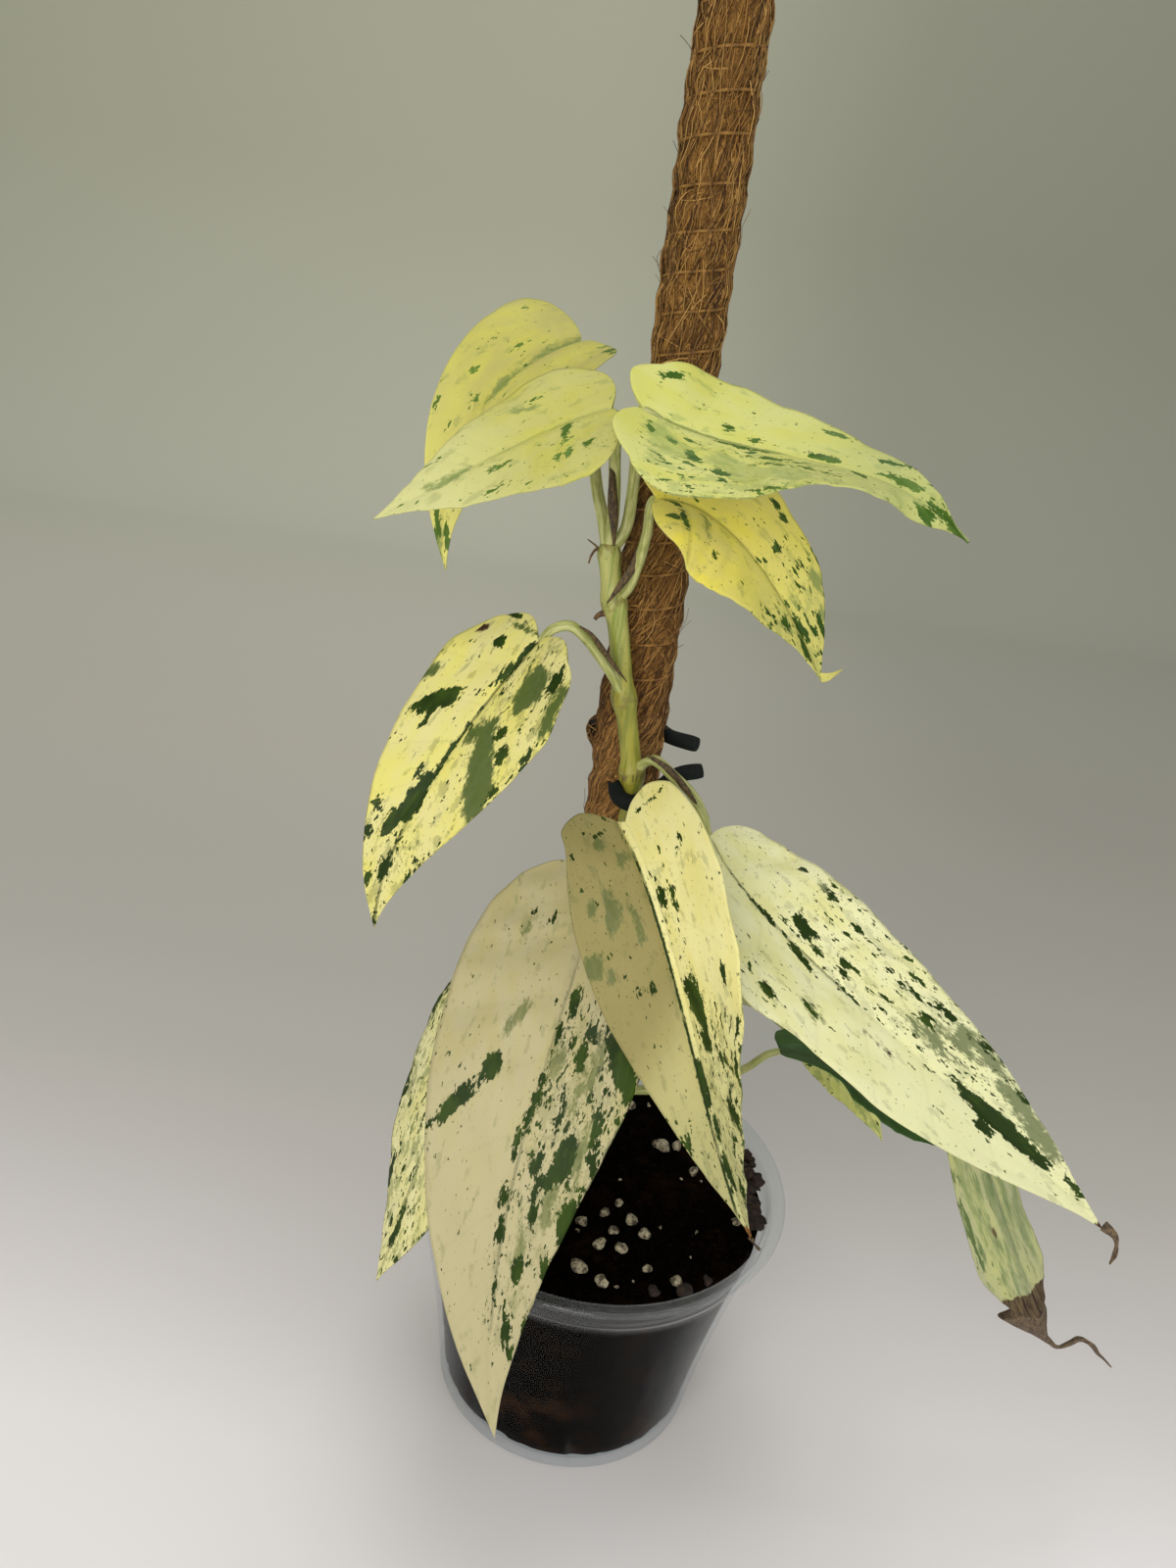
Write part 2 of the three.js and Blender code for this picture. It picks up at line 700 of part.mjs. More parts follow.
// Perlite lumps on the surface as x, y and half size, where the surface is in view
const PERLITE = [
  [16, 14, 2.4], [20, 16, 1.7], [24, 7, 1.6], [-2, -15, 1.5], [3, -11, 1.5], [6, -8, 1.3], [9, -13, 1.5],
  [5, -17, 1.3], [12, -17, 1.4], [2, -22, 1.6], [7, -22, 1.5], [-2, -29, 1.9], [3, -32, 1.8], [13, -26, 1.2],
  [19, -29, 1.3], [33.5, -9, 1.3], [-18, 12, 1.5], [-12, 26, 1.8], [8, 29, 1.5], [-28, -2, 1.6]
]

// Dark crumbs of bark by the wall as x, y, half size and height
const CRUMBS = [
  [37, 11, 2.2, 5.5], [36.5, -5, 1.5, 1.6], [21, -31, 1.6, 1.8], [26, -28, 1.4, 1.5], [14, -34, 1.5, 1.6],
  [-26, -26.5, 2, 2.2], [-30, -21, 1.7, 2], [-35, 6, 1.8, 2], [-20, 30, 1.6, 1.6], [4, 36, 1.6, 1.8],
  [28, 22, 1.7, 2]
]

function lump (x, y, halfSize, height, random) {
  const shape = new THREE.IcosahedronGeometry(halfSize, 0)
  shape.rotateZ(6 * random())
  shape.scale(0.8 + 0.4 * random(), 0.8 + 0.4 * random(), height / halfSize)
  shape.translate(x, y, mixTop(x, y) + height * 0.25 - MIX.lumpSink)
  return toSolid(shape)
}

// The mix fills the pot to a gap from its wall, with a chamfered bottom edge and a bumpy top
function mixBody () {
  const edge = (height) => potOuterRadius(height) - POT.wall - GAP
  const bottom = POT.floor + GAP
  const levels = [bottom + MIX.bottomChamfer, ...MIX.wallLevels]
  const ringAt = (radius, heightAt) => {
    const ring = []
    for (let j = 0; j < MIX.sides; j++) {
      const angle = 2 * Math.PI * j / MIX.sides
      const [x, y] = [radius * Math.cos(angle), radius * Math.sin(angle)]
      ring.push(new THREE.Vector3(x, y, heightAt(x, y)))
    }
    return ring
  }
  const topRadius = edge(MIX.edgeTop)
  const rings = [
    ringAt(edge(bottom) - MIX.bottomInset, () => bottom),
    ...levels.map((level) => ringAt(edge(level) - MIX.wallInset, () => level)),
    ringAt(topRadius - MIX.shoulderInset, () => MIX.shoulderLevel)
  ]
  for (let i = MIX.rings; i > 0; i--) {
    rings.push(ringAt((topRadius - MIX.topInset) * i / MIX.rings, mixTop))
  }
  return toSolid(ringsToGeometry(rings))
}

// The mix with its lumps, and a plain hole for the pole and for the stem
function mixSolid () {
  const random = randomSource(7)
  let mix = mixBody()
  for (const [x, y, halfSize] of PERLITE) {
    mix = mix.add(lump(x, y, halfSize, halfSize * 0.8, random))
  }
  for (const [x, y, halfSize, height] of CRUMBS) {
    mix = mix.add(lump(x, y, halfSize, height, random))
  }
  const poleHole = poleColumn(POLE.bottom - GAP, MIX.top + 20, POLE.radius + POLE.bulge + GAP, 18, 6)
  const stemHole = tube(route([[-3.5, 3.6, 34 - GAP], ...STEM_ROUTE.slice(1, 3)]), {
    steps: 8,
    sides: 8,
    halfWidth: () => STEM_RADIUS + GAP
  })
  return mix.subtract(toSolid(poleHole)).subtract(toSolid(stemHole))
}

// Assembly

const plant = new THREE.Group()

function addPart (name, geometry, colour, roughness, opacity = 1) {
  const material = new THREE.MeshStandardMaterial({
    color: COLOURS[colour],
    roughness,
    metalness: 0,
    opacity,
    transparent: opacity < 1
  })
  const mesh = new THREE.Mesh(geometry, material)
  mesh.name = name
  plant.add(mesh)
}

addPart('pot', potGeometry(), 'pot', 0.2, 0.35)
addPart('potting_mix', toGeometry(mixSolid()), 'mix', 0.95)

addPart('pole_core', poleColumn(POLE.bottom, POLE.top, POLE.coreRadius, 8, 16), 'core', 0.6)
addPart('pole_coir', toGeometry(coirSleeve()), 'coir', 0.95)
addPart('pole_twine_lower', twine(TWINE.lowest, TWINE.tieGapBottom), 'twine', 0.8)
addPart('pole_twine_upper', twine(TWINE.tieGapTop, TWINE.highest), 'twine', 0.8)
addPart('soft_tie', tieTube(0), 'tie', 0.85)

addPart('stem', toGeometry(stemSolid()), 'stem', 0.5)
const stemClearance = toSolid(stemTube(GAP)).add(toSolid(stemTube(GAP).translate(0, 0, GAP)))
for (const leaf of LEAVES) {
  addPart(leaf.name, toGeometry(leafSolid(leaf, stemClearance)), leaf.colour, 0.45)
}
for (const { name, points } of SHEATHS) {
  addPart(name, sheathGeometry(points), 'sheath', 0.7)
}

export default plant
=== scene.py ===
"""Looks of a potted variegated cebu blue pothos that climbs a bound coir pole.

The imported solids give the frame. Every visible piece is rebuilt here with a finer surface, in millimetres in the
code and metres in the scene, and takes a procedural finish.
"""

import logging
import math
from dataclasses import dataclass, field
from enum import Enum
from typing import Any, Sequence

import bmesh
import bpy
import numpy as np
from mathutils import Matrix, Vector


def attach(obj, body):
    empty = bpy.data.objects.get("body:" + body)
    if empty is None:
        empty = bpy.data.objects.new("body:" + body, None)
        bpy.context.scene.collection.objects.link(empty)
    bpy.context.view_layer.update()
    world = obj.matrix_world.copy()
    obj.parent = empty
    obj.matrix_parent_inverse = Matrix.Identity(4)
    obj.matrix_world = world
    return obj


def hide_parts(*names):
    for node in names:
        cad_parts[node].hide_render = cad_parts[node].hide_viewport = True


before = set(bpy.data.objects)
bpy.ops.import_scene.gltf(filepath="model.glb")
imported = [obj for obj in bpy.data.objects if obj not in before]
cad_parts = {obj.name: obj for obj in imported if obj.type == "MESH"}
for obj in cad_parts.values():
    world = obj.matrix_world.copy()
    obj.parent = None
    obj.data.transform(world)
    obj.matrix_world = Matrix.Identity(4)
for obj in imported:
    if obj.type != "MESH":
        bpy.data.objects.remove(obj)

LOG = logging.getLogger("pothos")
MM = 0.001
BODY = "root"

Point = tuple[float, float, float]
Colour = tuple[float, float, float, float]


def colour(code: str) -> Colour:
    """Reads a hex colour as a linear one.

    Args:
        code: six hex digits, as on a paint card.

    Returns:
        Red, green, blue and alpha from 0 to 1.
    """
    shares = [int(code[i:i + 2], 16) / 255 for i in (0, 2, 4)]
    linear = [s / 12.92 if s <= 0.04045 else ((s + 0.055) / 1.055) ** 2.4 for s in shares]
    return (linear[0], linear[1], linear[2], 1.0)


def unit(vectors: np.ndarray) -> np.ndarray:
    """Scales vectors to length 1, along their last axis."""
    return vectors / np.linalg.norm(vectors, axis=-1, keepdims=True)


def smoothstep(values: np.ndarray, low: float, high: float) -> np.ndarray:
    """Rises smoothly from 0 at low to 1 at high."""
    t = np.clip((values - low) / (high - low), 0, 1)
    return t * t * (3 - 2 * t)


def ripple(place: np.ndarray, size: float, seed: int) -> np.ndarray:
    """Gives soft random bumps between about -1 and 1.

    Args:
        place: points, one row each, in millimetres.
        size: the bumps' usual width in millimetres.
        seed: which pattern of bumps.

    Returns:
        One height for each point.
    """
    source = np.random.default_rng(seed)
    total = np.zeros(len(place))
    for _ in range(7):
        direction = unit(source.normal(size=place.shape[1]))
        rate = 2 * math.pi / size * source.uniform(0.6, 1.5)
        total += np.sin(place @ direction * rate + source.uniform(0, 6.3))
    return total / 3.2


# Shader nodes


class Wire:
    """One output of a node, which ordinary arithmetic works on."""

    def __init__(self, shader: "Shader", socket: bpy.types.NodeSocket) -> None:
        """Keeps the socket and the shader that its results go into."""
        self.shader = shader
        self.socket = socket

    def math(self, operation: str, *others: "Wire | float", first: "Wire | float | None" = None) -> "Wire":
        """Adds a Math node, whose first value is this wire unless another is given."""
        values = [self if first is None else first, *others]
        return self.shader.node("ShaderNodeMath", {"operation": operation}, dict(enumerate(values)))

    def __add__(self, other: "Wire | float") -> "Wire":
        """Adds a value."""
        return self.math("ADD", other)

    def __radd__(self, other: float) -> "Wire":
        """Adds this to a number."""
        return self.math("ADD", other)

    def __sub__(self, other: "Wire | float") -> "Wire":
        """Takes a value away."""
        return self.math("SUBTRACT", other)

    def __rsub__(self, other: float) -> "Wire":
        """Takes this away from a number."""
        return self.math("SUBTRACT", self, first=other)

    def __mul__(self, other: "Wire | float") -> "Wire":
        """Multiplies by a value."""
        return self.math("MULTIPLY", other)

    def __pow__(self, other: float) -> "Wire":
        """Raises this to a power."""
        return self.math("POWER", other)

    def __or__(self, other: "Wire | float") -> "Wire":
        """Takes the larger value, as where two masks join."""
        return self.math("MAXIMUM", other)

    def __and__(self, other: "Wire | float") -> "Wire":
        """Takes the smaller value, as where two masks meet."""
        return self.math("MINIMUM", other)

    def smooth(self, low: float, high: float, start: float = 0.0, end: float = 1.0) -> "Wire":
        """Maps low to start and high to end, with soft ends."""
        settings = {"interpolation_type": "SMOOTHSTEP", "clamp": True}
        return self.shader.node("ShaderNodeMapRange", settings, {0: self, 1: low, 2: high, 3: start, 4: end})


class Shader:
    """One material's nodes."""

    def __init__(self, name: str) -> None:
        """Starts an empty material.

        Args:
            name: the material's name.
        """
        self.material = bpy.data.materials.new(name)
        self.material.use_nodes = True
        self.tree = self.material.node_tree
        self.tree.nodes.clear()

    def node(self, kind: str, settings: dict[str, Any], values: dict[int | str, Any],
             output: int | str = 0) -> Wire:
        """Adds a node.

        Args:
            kind: the node's type.
            settings: its own settings, set first. A ramp takes stops, a list of place and colour.
            values: what each socket takes: a number, a colour, a vector or a wire.
            output: the output that is wanted.

        Returns:
            That output.
        """
        made = self.tree.nodes.new(kind)
        for name, value in settings.items():
            if name == "stops":
                ramp = made.color_ramp
                while len(ramp.elements) < len(value):
                    ramp.elements.new(1)
                for element, (place, tint) in zip(ramp.elements, value):
                    element.position = place
                    element.color = tint
            else:
                setattr(made, name, value)
        for key, value in values.items():
            if isinstance(value, Wire):
                self.tree.links.new(value.socket, made.inputs[key])
            else:
                made.inputs[key].default_value = value
        return Wire(self, made.outputs[output])

    def mix(self, share: Wire | float, below: Wire | str, above: Wire | str) -> Wire:
        """Lays one colour over another.

        Args:
            share: how much of the upper colour shows.
            below: the lower colour, as a wire or a hex code.
            above: the upper colour.

        Returns:
            The mixed colour.
        """
        settings = {"data_type": "RGBA", "clamp_factor": True}
        tones = [colour(tone) if isinstance(tone, str) else tone for tone in (below, above)]
        return self.node("ShaderNodeMix", settings, {0: share, 6: tones[0], 7: tones[1]}, 2)

    def attribute(self, name: str) -> Wire:
        """Reads a vector that is stored on the mesh."""
        return self.node("ShaderNodeAttribute", {"attribute_name": name}, {}, "Vector")

    def parts(self, vector: Wire) -> tuple[Wire, Wire, Wire]:
        """Splits a vector into its three values.

        Args:
            vector: a vector socket.

        Returns:
            Its three parts as wires.
        """
        x = self.node("ShaderNodeSeparateXYZ", {}, {0: vector})
        outputs = x.socket.node.outputs
        return x, Wire(self, outputs[1]), Wire(self, outputs[2])

    def scaled(self, vector: Wire, factors: Point) -> Wire:
        """Stretches a vector along each axis."""
        return self.node("ShaderNodeVectorMath", {"operation": "MULTIPLY"}, {0: vector, 1: factors})

    def shifted(self, vector: Wire, offset: Point) -> Wire:
        """Moves a vector."""
        return self.node("ShaderNodeVectorMath", {"operation": "ADD"}, {0: vector, 1: offset})

    def place(self) -> Wire:
        """Gives the place on the object in millimetres."""
        return self.scaled(self.node("ShaderNodeTexCoord", {}, {}, "Object"), (1 / MM, 1 / MM, 1 / MM))

    def height(self) -> Wire:
        """Gives the height on the object in millimetres."""
        return self.parts(self.place())[2]

    def noise(self, vector: Wire, scale: float, detail: float = 2.0, roughness: float = 0.55,
              distortion: float = 0.0) -> Wire:
        """Gives soft noise about 0.5.

        Args:
            vector: where it is read.
            scale: how many bumps fit in one unit.
            detail: how many finer layers it has.
            roughness: how strong they are.
            distortion: how far it is swirled.

        Returns:
            The noise.
        """
        values = {"Vector": vector, "Scale": scale, "Detail": detail, "Roughness": roughness,
                  "Distortion": distortion}
        return self.node("ShaderNodeTexNoise", {}, values)

    def bump(self, height: Wire, distance: float, strength: float = 1.0) -> Wire:
        """Turns a height into a normal, with distance in millimetres."""
        values = {"Height": height, "Distance": distance * MM, "Strength": strength}
        return self.node("ShaderNodeBump", {}, values)

    def surface(self, **values: Any) -> Wire:
        """Adds the main surface node, whose sockets are named with underscores for spaces."""
        named = {name.replace("_", " "): value for name, value in values.items()}
        return self.node("ShaderNodeBsdfPrincipled", {}, named)

    def done(self, shader: Wire) -> bpy.types.Material:
        """Joins a shader to the output and returns the material.

        Args:
            shader: the last shader.

        Returns:
            The finished material.
        """
        output = self.tree.nodes.new("ShaderNodeOutputMaterial")
        self.tree.links.new(shader.socket, output.inputs["Surface"])
        return self.material


# Meshes


class PieceMesh:
    """Gathers sheets and tubes of points in millimetres, and becomes one object."""

    def __init__(self) -> None:
        """Starts with nothing in it."""
        self.points: list[np.ndarray] = []
        self.faces: list[list[int]] = []
        self.slots: list[int] = []
        self.marks: dict[str, list[tuple[int, np.ndarray]]] = {}
        self.count = 0

    def add(self, points: np.ndarray, faces: Sequence[Sequence[int]], slot: int = 0,
            marks: dict[str, np.ndarray] | None = None) -> None:
        """Adds points with their faces.

        Args:
            points: one row for each point.
            faces: lists of point numbers within these points.
            slot: the number of the finish that the faces take.
            marks: values stored on the points, by name, three for each point.
        """
        for name, values in (marks or {}).items():
            self.marks.setdefault(name, []).append((self.count, values))
        self.faces.extend([[self.count + i for i in face] for face in faces])
        self.slots.extend([slot] * len(faces))
        self.points.append(np.asarray(points, float))
        self.count += len(points)

    def build(self, name: str, finishes: Sequence[bpy.types.Material]) -> bpy.types.Object:
        """Makes the object, smooth shaded.

        Args:
            name: the piece's name.
            finishes: its materials in slot order.

        Returns:
            The object, linked to the scene.
        """
        mesh = bpy.data.meshes.new(name)
        mesh.from_pydata((np.vstack(self.points) * MM).tolist(), [], self.faces)
        for finish in finishes:
            mesh.materials.append(finish)
        mesh.polygons.foreach_set("material_index", self.slots)
        mesh.polygons.foreach_set("use_smooth", [True] * len(self.faces))
        for mark, stretches in self.marks.items():
            whole = np.zeros((self.count, 3), np.float32)
            for start, values in stretches:
                whole[start:start + len(values)] = values
            stored = mesh.attributes.new(mark, "FLOAT_VECTOR", "POINT")
            stored.data.foreach_set("vector", whole.ravel())
        shell = bmesh.new()
        shell.from_mesh(mesh)
        loose = [point for point in shell.verts if not point.link_faces]
        bmesh.ops.delete(shell, geom=loose, context="VERTS")
        bmesh.ops.recalc_face_normals(shell, faces=shell.faces)
        shell.to_mesh(mesh)
        shell.free()
        mesh.update()
        piece = bpy.data.objects.new(name, mesh)
        bpy.context.scene.collection.objects.link(piece)
        LOG.info("%s: %d points, %d faces", name, self.count, len(self.faces))
        return piece


def place_piece(piece: bpy.types.Object, slot: str, *nodes: str) -> None:
    """Seats a finished piece on the body.

    Args:
        piece: the object.
        slot: the record's material slot for the piece; it is not used.
        nodes: the solids that it stands for.
    """
    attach(piece, BODY)
    if nodes:
        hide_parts(*nodes)


def ring_faces(rings: int, sides: int, closed: bool = True) -> list[list[int]]:
    """Joins rings of points, each with the next.

    Args:
        rings: how many rings.
        sides: how many points in each.
        closed: whether both ends get a cap of one face.

    Returns:
        The faces.
    """
    faces = []
    for i in range(rings - 1):
        for j in range(sides):
            a = i * sides + j
            b = i * sides + (j + 1) % sides
            faces.append([a, b, b + sides, a + sides])
    if closed:
        faces.append(list(range(sides))[::-1])
        faces.append([(rings - 1) * sides + j for j in range(sides)])
    return faces


def turns(sides: int) -> np.ndarray:
    """Gives evenly spaced angles all the way round."""
    return np.arange(sides) * 2 * math.pi / sides


def level(angles: np.ndarray) -> np.ndarray:
    """Gives level directions at angles."""
    return np.column_stack([np.cos(angles), np.sin(angles), np.zeros(len(angles))])


def circle(sides: int) -> np.ndarray:
    """Gives a circle of radius 1 as pairs."""
    return level(turns(sides))[:, :2]


def level_ring(radius: float, height: float, sides: int, middle: Sequence[float] = (0.0, 0.0)) -> np.ndarray:
    """Gives a level ring of points about a middle."""
    return np.column_stack([circle(sides) * radius + np.array(middle), np.full(sides, height)])


def smooth_route(points: Sequence[Point], count: int) -> np.ndarray:
    """Draws a smooth curve through points.

    Args:
        points: what it passes through.
        count: how many points to return, evenly spaced along it.

    Returns:
        The curve's points.
    """
    given = np.array(points, float)
    held = np.vstack([2 * given[0] - given[1], given, 2 * given[-1] - given[-2]])
    fine = []
    for i in range(len(held) - 3):
        four = held[i:i + 4]
        t = np.append(0, np.cumsum(np.sqrt(np.linalg.norm(np.diff(four, axis=0), axis=1)) + 1e-6))
        for now in np.linspace(t[1], t[2], 24, endpoint=i == len(held) - 4):
            row = four
            for spans in (((0, 1), (1, 2), (2, 3)), ((0, 2), (1, 3)), ((1, 2),)):
                row = [((t[b] - now) * row[k] + (now - t[a]) * row[k + 1]) / (t[b] - t[a])
                       for k, (a, b) in enumerate(spans)]
            fine.append(row[0])
    line = np.array(fine)
    travelled = np.concatenate([[0], np.cumsum(np.linalg.norm(np.diff(line, axis=0), axis=1))])
    wanted = np.linspace(0, travelled[-1], count)
    return np.column_stack([np.interp(wanted, travelled, line[:, k]) for k in range(3)])


def carried_frames(line: np.ndarray, up: Sequence[float]) -> tuple[np.ndarray, np.ndarray]:
    """Carries a cross direction along a line without twisting it.

    Args:
        line: the line's points.
        up: roughly the cross direction at its first point.

    Returns:
        The side and up directions at each point.
    """
    forward = unit(np.gradient(line, axis=0))
    ups = np.zeros_like(line)
    current = np.array(up, float)
    for i, direction in enumerate(forward):
        current = current - direction * (current @ direction)
        current = current / np.linalg.norm(current)
        ups[i] = current
    return np.cross(ups, forward), ups


def tube(line: np.ndarray, across: np.ndarray, over: np.ndarray, sections: np.ndarray) -> np.ndarray:
    """Lays sections across a line, as side and up distances: one shape for all its points or one for each."""
    rings = line[:, None] + across[:, None] * sections[..., :1] + over[:, None] * sections[..., 1:]
    return rings.reshape(-1, 3)


def swept(line: np.ndarray, up: Sequence[float], sections: np.ndarray) -> np.ndarray:
    """Sweeps sections along a line without twisting them, from roughly that upward direction."""
    return tube(line, *carried_frames(line, up), sections)


# Leaves


class MarkKind(Enum):
    """What a listed mark on a blade is."""

    DARK = 0
    SAGE = 1
    DRY = 2


@dataclass(frozen=True)
class Mark:
    """One blotch: its place along the midrib and across the half, its half length and half width in millimetres,
    and the angle in degrees at which it leaves the midrib's direction."""

    along: float
    across: float
    length: float
    width: float
    angle: float = 0.0
    kind: MarkKind = MarkKind.DARK


def dark(rows: Sequence[Sequence[float]]) -> list[Mark]:
    """Reads dark green marks from rows of along, across, half length, half width and angle."""
    return [Mark(*row) for row in rows]


def sage(rows: Sequence[Sequence[float]]) -> list[Mark]:
    """Reads soft grey-green marks from rows of the same kind."""
    return [Mark(*row, kind=MarkKind.SAGE) for row in rows]


def dry(rows: Sequence[Sequence[float]]) -> list[Mark]:
    """Reads dried brown spots from rows of the same kind."""
    return [Mark(*row, kind=MarkKind.DRY) for row in rows]


FLECK_END_BLUR = 0.05
FLECK_SIDE_BLUR = 0.08


@dataclass(frozen=True)
class BladeFinish:
    """The colours of one blade."""

    pale: str
    warm: str
    dark: str = "203404"
    green: str = "425a14"
    sage: str = "7d8a50"
    under: str = "b9bc86"
    dried: str = "5b3d22"
    sage_strength: float = 0.8
    mottle: float = 0.3
    midrib: float = 0.5
    midrib_start: float = 0.0
    midrib_end: float = 1.0
    grain: Point = (0.42, 1.0, 0.0)
    # Tone towards the tip: partly the leaf's own change from base to tip, partly painted light and shade matched to
    # how brightly the tip was lit.
    far: str = ""
    # Painted shade on one half, where another leaf lies behind it and less light shows through; empty for none.
    painted_shade_half: str = ""
    veil: float = 0.55
    spine: float = 0.42
    blur: float = 2.5

    def material(self, name: str, seed: int) -> bpy.types.Material:
        """Makes a variegated skin: pale ground, soft grey-green sectors, dark blotches and flecks along the veins.

        Args:
            name: the material's name.
            seed: which pattern of flecks.

        Returns:
            The material.
        """
        s = Shader(name)
        place = s.attribute("blade_place")
        _, _, vein = s.parts(place)
        dark_field, sage_field, density = s.parts(s.attribute("blade_marks"))
        ridge, dry_field, upper = s.parts(s.attribute("blade_trim"))
        along, _, share = s.parts(s.attribute("blade_along"))
        grain = s.scaled(place, self.grain)
        veined = s.scaled(grain, (0.5, 1.0, 0.0))

        edge = s.noise(grain, 0.6, 4.0, 0.6) - 0.5
        fine = s.noise(s.shifted(grain, (31.0, 7.0, 0.0)), 2.0, 3.0, 0.6) - 0.5
        soft = s.noise(s.shifted(grain, (11.0, 43.0, 0.0)), 0.2, 2.0)
        streak = s.noise(s.shifted(veined, (seed % 13, 5.0, 0.0)), 0.9, 3.0, 0.6)

        blotch = (dark_field + edge * 3.0 + fine * 2.0).smooth(-0.05, 0.08)
        sector = (sage_field + edge * 4.2 + fine * 2.4).smooth(-0.16 * self.blur, 0.2 * self.blur)
        broad = s.noise(s.shifted(grain, (seed % 29, 17.0, 0.0)), 0.5, 3.0, 0.58)
        small = s.noise(s.shifted(grain, (5.0, seed % 31, 0.0)), 1.15, 2.5, 0.6)
        specks = s.noise(s.shifted(grain, (seed % 23, 61.0, 0.0)), 2.3, 2.0, 0.6)
        flecks = (broad + density * 0.17).smooth(0.71, 0.725)
        flecks = flecks | (small + density * 0.14).smooth(0.69, 0.72)
        flecks = flecks | (specks + density * 0.1).smooth(0.7, 0.74) * 0.8
        flecks = flecks * density.smooth(0.0, 0.06) * (1 - sector * 0.8)
        faint = s.noise(s.shifted(grain, (47.0, seed % 37, 0.0)), 0.5, 3.0, 0.6) + density * 0.14
        ghost = faint.smooth(0.61 - 0.01 * self.blur, 0.65 + 0.01 * self.blur)
        margin = (share * share).smooth(0.95, 1.0) * density * edge.smooth(-0.05, 0.05)

        pale = s.mix(soft.smooth(0.35, 0.68), self.pale, self.warm)
        # Partly painted light and shade: the ground blends towards the tip's tone.
        if self.far:
            pale = s.mix(along.smooth(0.3, 0.85), pale, self.far)
        # Painted shade: one half darkens towards this tone near the base, easing to 0.4 of it past mid-length.
        if self.painted_shade_half:
            reach = (along - ridge * 0.012).smooth(0.38, 0.62, 1.0, 0.4)
            pale = s.mix(ridge.smooth(-0.3, 0.5) * reach, pale, self.painted_shade_half)
        ground = s.mix(ghost * self.mottle, pale, self.sage)
        line = (vein.math("FRACT") - 0.5).math("ABSOLUTE").smooth(0.44, 0.5)
        ground = s.mix(line * 0.05, ground, self.sage)
        depth = streak.smooth(0.35, 0.65)
        grey = s.mix(depth * 0.45, self.sage, self.green)
        ground = s.mix(sector * self.sage_strength, ground, grey)
        leafy = soft.smooth(0.45, 0.62) * 0.4 + streak.smooth(0.52, 0.7) * 0.35
        green = s.mix(leafy, self.dark, self.green)
        cover = blotch | flecks | margin
        skin = s.mix(cover, ground, green)
        spine = 1 - (ridge.math("ABSOLUTE") + fine * 0.5).smooth(self.spine - 0.26, self.spine)
        spine = spine * along.smooth(self.midrib_start, self.midrib_start + 0.04)
        spine = spine * (1 - along.smooth(self.midrib_end - 0.06, self.midrib_end)) * self.midrib
        skin = s.mix(spine * streak.smooth(0.38, 0.5, 0.55, 1.0), skin, self.dark)
        dull = s.mix(self.veil, skin, self.under)
        skin = s.mix(upper, dull, skin)
        withered = (dry_field + edge * 5.0 + fine * 2.0).smooth(-0.5, 0.5)
        brown = s.mix(streak.smooth(0.35, 0.65), self.dried, "2e1d12")
        skin = s.mix(withered, skin, brown)

        cells = s.noise(s.scaled(place, (1.0, 1.0, 0.0)), 5.5, 2.0, 0.5)
        height = cells * 0.35 + streak * 0.35 - cover * 0.25 + withered * edge * 2.0
        rough = (cells - 0.5) * 0.16 + 0.5 - cover * 0.04 + withered * 0.25
        shader = s.surface(
            Base_Color=skin, Roughness=rough, Normal=s.bump(height, 0.12, 0.55), Subsurface_Weight=0.05,
            Subsurface_Radius=(0.6, 0.8, 0.25), Subsurface_Scale=0.0006, Specular_IOR_Level=0.17,
        )
        return s.done(shader)


OUTLINE_ALONG = np.array([0, -0.045, -0.05, 0.03, 0.17, 0.38, 0.60, 0.80, 0.93, 1])
OUTLINE_HALF = np.array([0, 0.22, 0.50, 0.82, 1, 0.96, 0.70, 0.36, 0.11, 0])
OUTLINE_VEIN = np.array([0, 0.004, 0.012, 0.03, 0.09, 0.27, 0.49, 0.71, 0.88, 1])


def between(values: np.ndarray, t: np.ndarray) -> np.ndarray:
    """Reads a smooth value between evenly spaced ones.

    Args:
        values: the evenly spaced values.
        t: where to read, in steps from the first.

    Returns:
        One value for each place.
    """
    last = len(values) - 1
    i = np.clip(np.floor(t).astype(int), 0, last - 1)
    f = t - i
    a, b, c, d = (values[np.clip(i + k, 0, last)] for k in (-1, 0, 1, 2))
    return 0.5 * (2 * b + (c - a) * f + (2 * a - 5 * b + 4 * c - d) * f ** 2 + (3 * b - a - 3 * c + d) * f ** 3)


